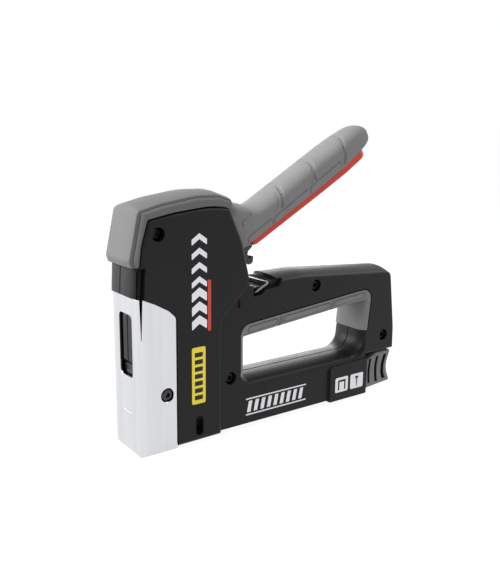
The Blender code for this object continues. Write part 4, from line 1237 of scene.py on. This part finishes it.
# ------------ studio
def make_floor():
    """A wide pale floor that runs off to the horizon."""
    size = 60.0
    base = min(corner[2] for corner in CAD_BOUNDS) - 0.00005
    corners = ((-size, -size), (size, -size), (size, size), (-size, size))
    mesh = bmesh.new()
    mesh.faces.new([mesh.verts.new((x, y, base)) for x, y in corners])
    floor = new_object("studio_floor", mesh)
    floor.data.materials.append(FLOOR)


def soft_light(name, place, size, power):
    """A square soft light that looks at the middle of the tool and isn't seen itself."""
    data = bpy.data.lights.new(name, "AREA")
    data.shape = "SQUARE"
    data.size = size
    data.energy = power
    light = bpy.data.objects.new(name, data)
    light.location = place
    light.visible_camera = False
    target = Vector((0.0, 0.0, 0.08))
    light.rotation_euler = (target - Vector(place)).to_track_quat("-Z", "Y").to_euler()
    bpy.context.scene.collection.objects.link(light)


def make_sky():
    """A white surround with a dim patch high up on the tool's left side."""
    sky = bpy.data.worlds.new("studio")
    sky.use_nodes = True
    tree = sky.node_tree
    background = tree.nodes["Background"].inputs
    background["Color"].default_value = (1.0, 1.0, 1.0, 1.0)
    place = add_node(tree, "TexCoord")
    towards = add_node(tree, "VectorMath")
    towards.operation = "DOT_PRODUCT"
    towards.inputs[1].default_value = Vector((-0.42, -0.60, 0.68)).normalized()
    level = add_node(tree, "MapRange", From_Min=0.70, From_Max=0.95, To_Min=1.0, To_Max=0.1)
    level.interpolation_type = "SMOOTHSTEP"
    tree.links.new(place.outputs["Generated"], towards.inputs[0])
    tree.links.new(towards.outputs["Value"], level.inputs["Value"])
    tree.links.new(level.outputs["Result"], background["Strength"])
    bpy.context.scene.world = sky


def make_studio():
    """Floor, surround, soft lights from (x, y, z) places in metres, and plain colours."""
    make_floor()
    make_sky()
    for name, place, size, power in (
        ("key", (-0.72, 0.05, 0.80), 0.55, 12.0), ("side", (-0.62, 0.55, 0.36), 0.6, 7.0),
        ("overhead", (0.52, -0.14, 0.94), 0.5, 2.5), ("back", (0.62, 0.86, 0.30), 0.42, 2.5),
    ):
        soft_light(name, place, size, power)
    view = bpy.context.scene.view_settings
    view.view_transform = "Standard"
    view.look = "None"
    view.exposure = 0.0


def make_camera():
    """A camera at the viewing angle of the picture that the tool is matched to."""
    yaw, pitch, roll = math.radians(36.11), math.radians(12.75), math.radians(0.757)
    level = Vector((math.sin(yaw), math.cos(yaw), 0.0))
    ahead = level * math.cos(pitch) - Vector((0.0, 0.0, math.sin(pitch)))
    right = Vector((math.cos(yaw), -math.sin(yaw), 0.0))
    up = right.cross(ahead)
    rolled_right = right * math.cos(roll) + up * math.sin(roll)
    rolled_up = up * math.cos(roll) - right * math.sin(roll)
    data = bpy.data.cameras.new("camera")
    data.sensor_width = 36.0
    data.lens = 43.31
    data.clip_start = 0.01
    camera = bpy.data.objects.new("camera", data)
    turn = Matrix((rolled_right, rolled_up, -ahead)).transposed().to_4x4()
    camera.matrix_world = Matrix.Translation(world(-151.5, -315.0, 163.7)) @ turn
    bpy.context.scene.collection.objects.link(camera)
    bpy.context.scene.camera = camera


# ------------ assembly
for flank_tag, flank in FLANKS:
    make_housing_half(flank_tag, flank)
make_nose_cover()
make_top_cap()
make_grip_pad()
for screw_name in SCREWS:
    make_screw(screw_name, BLACK_SCREW)
for screw_name in ("nose_screw_left", "nose_screw_right"):
    make_screw(screw_name, GUN_SCREW)
make_lever_grip()
make_lever_insert()
make_lever_hook()
make_knob()
make_staples()
make_rod()
make_bail()
make_main_spring()
make_pusher_spring()
for flank_tag, flank in FLANKS:
    make_graphics(flank_tag, flank)
dress_carried_nodes()
make_studio()
make_camera()
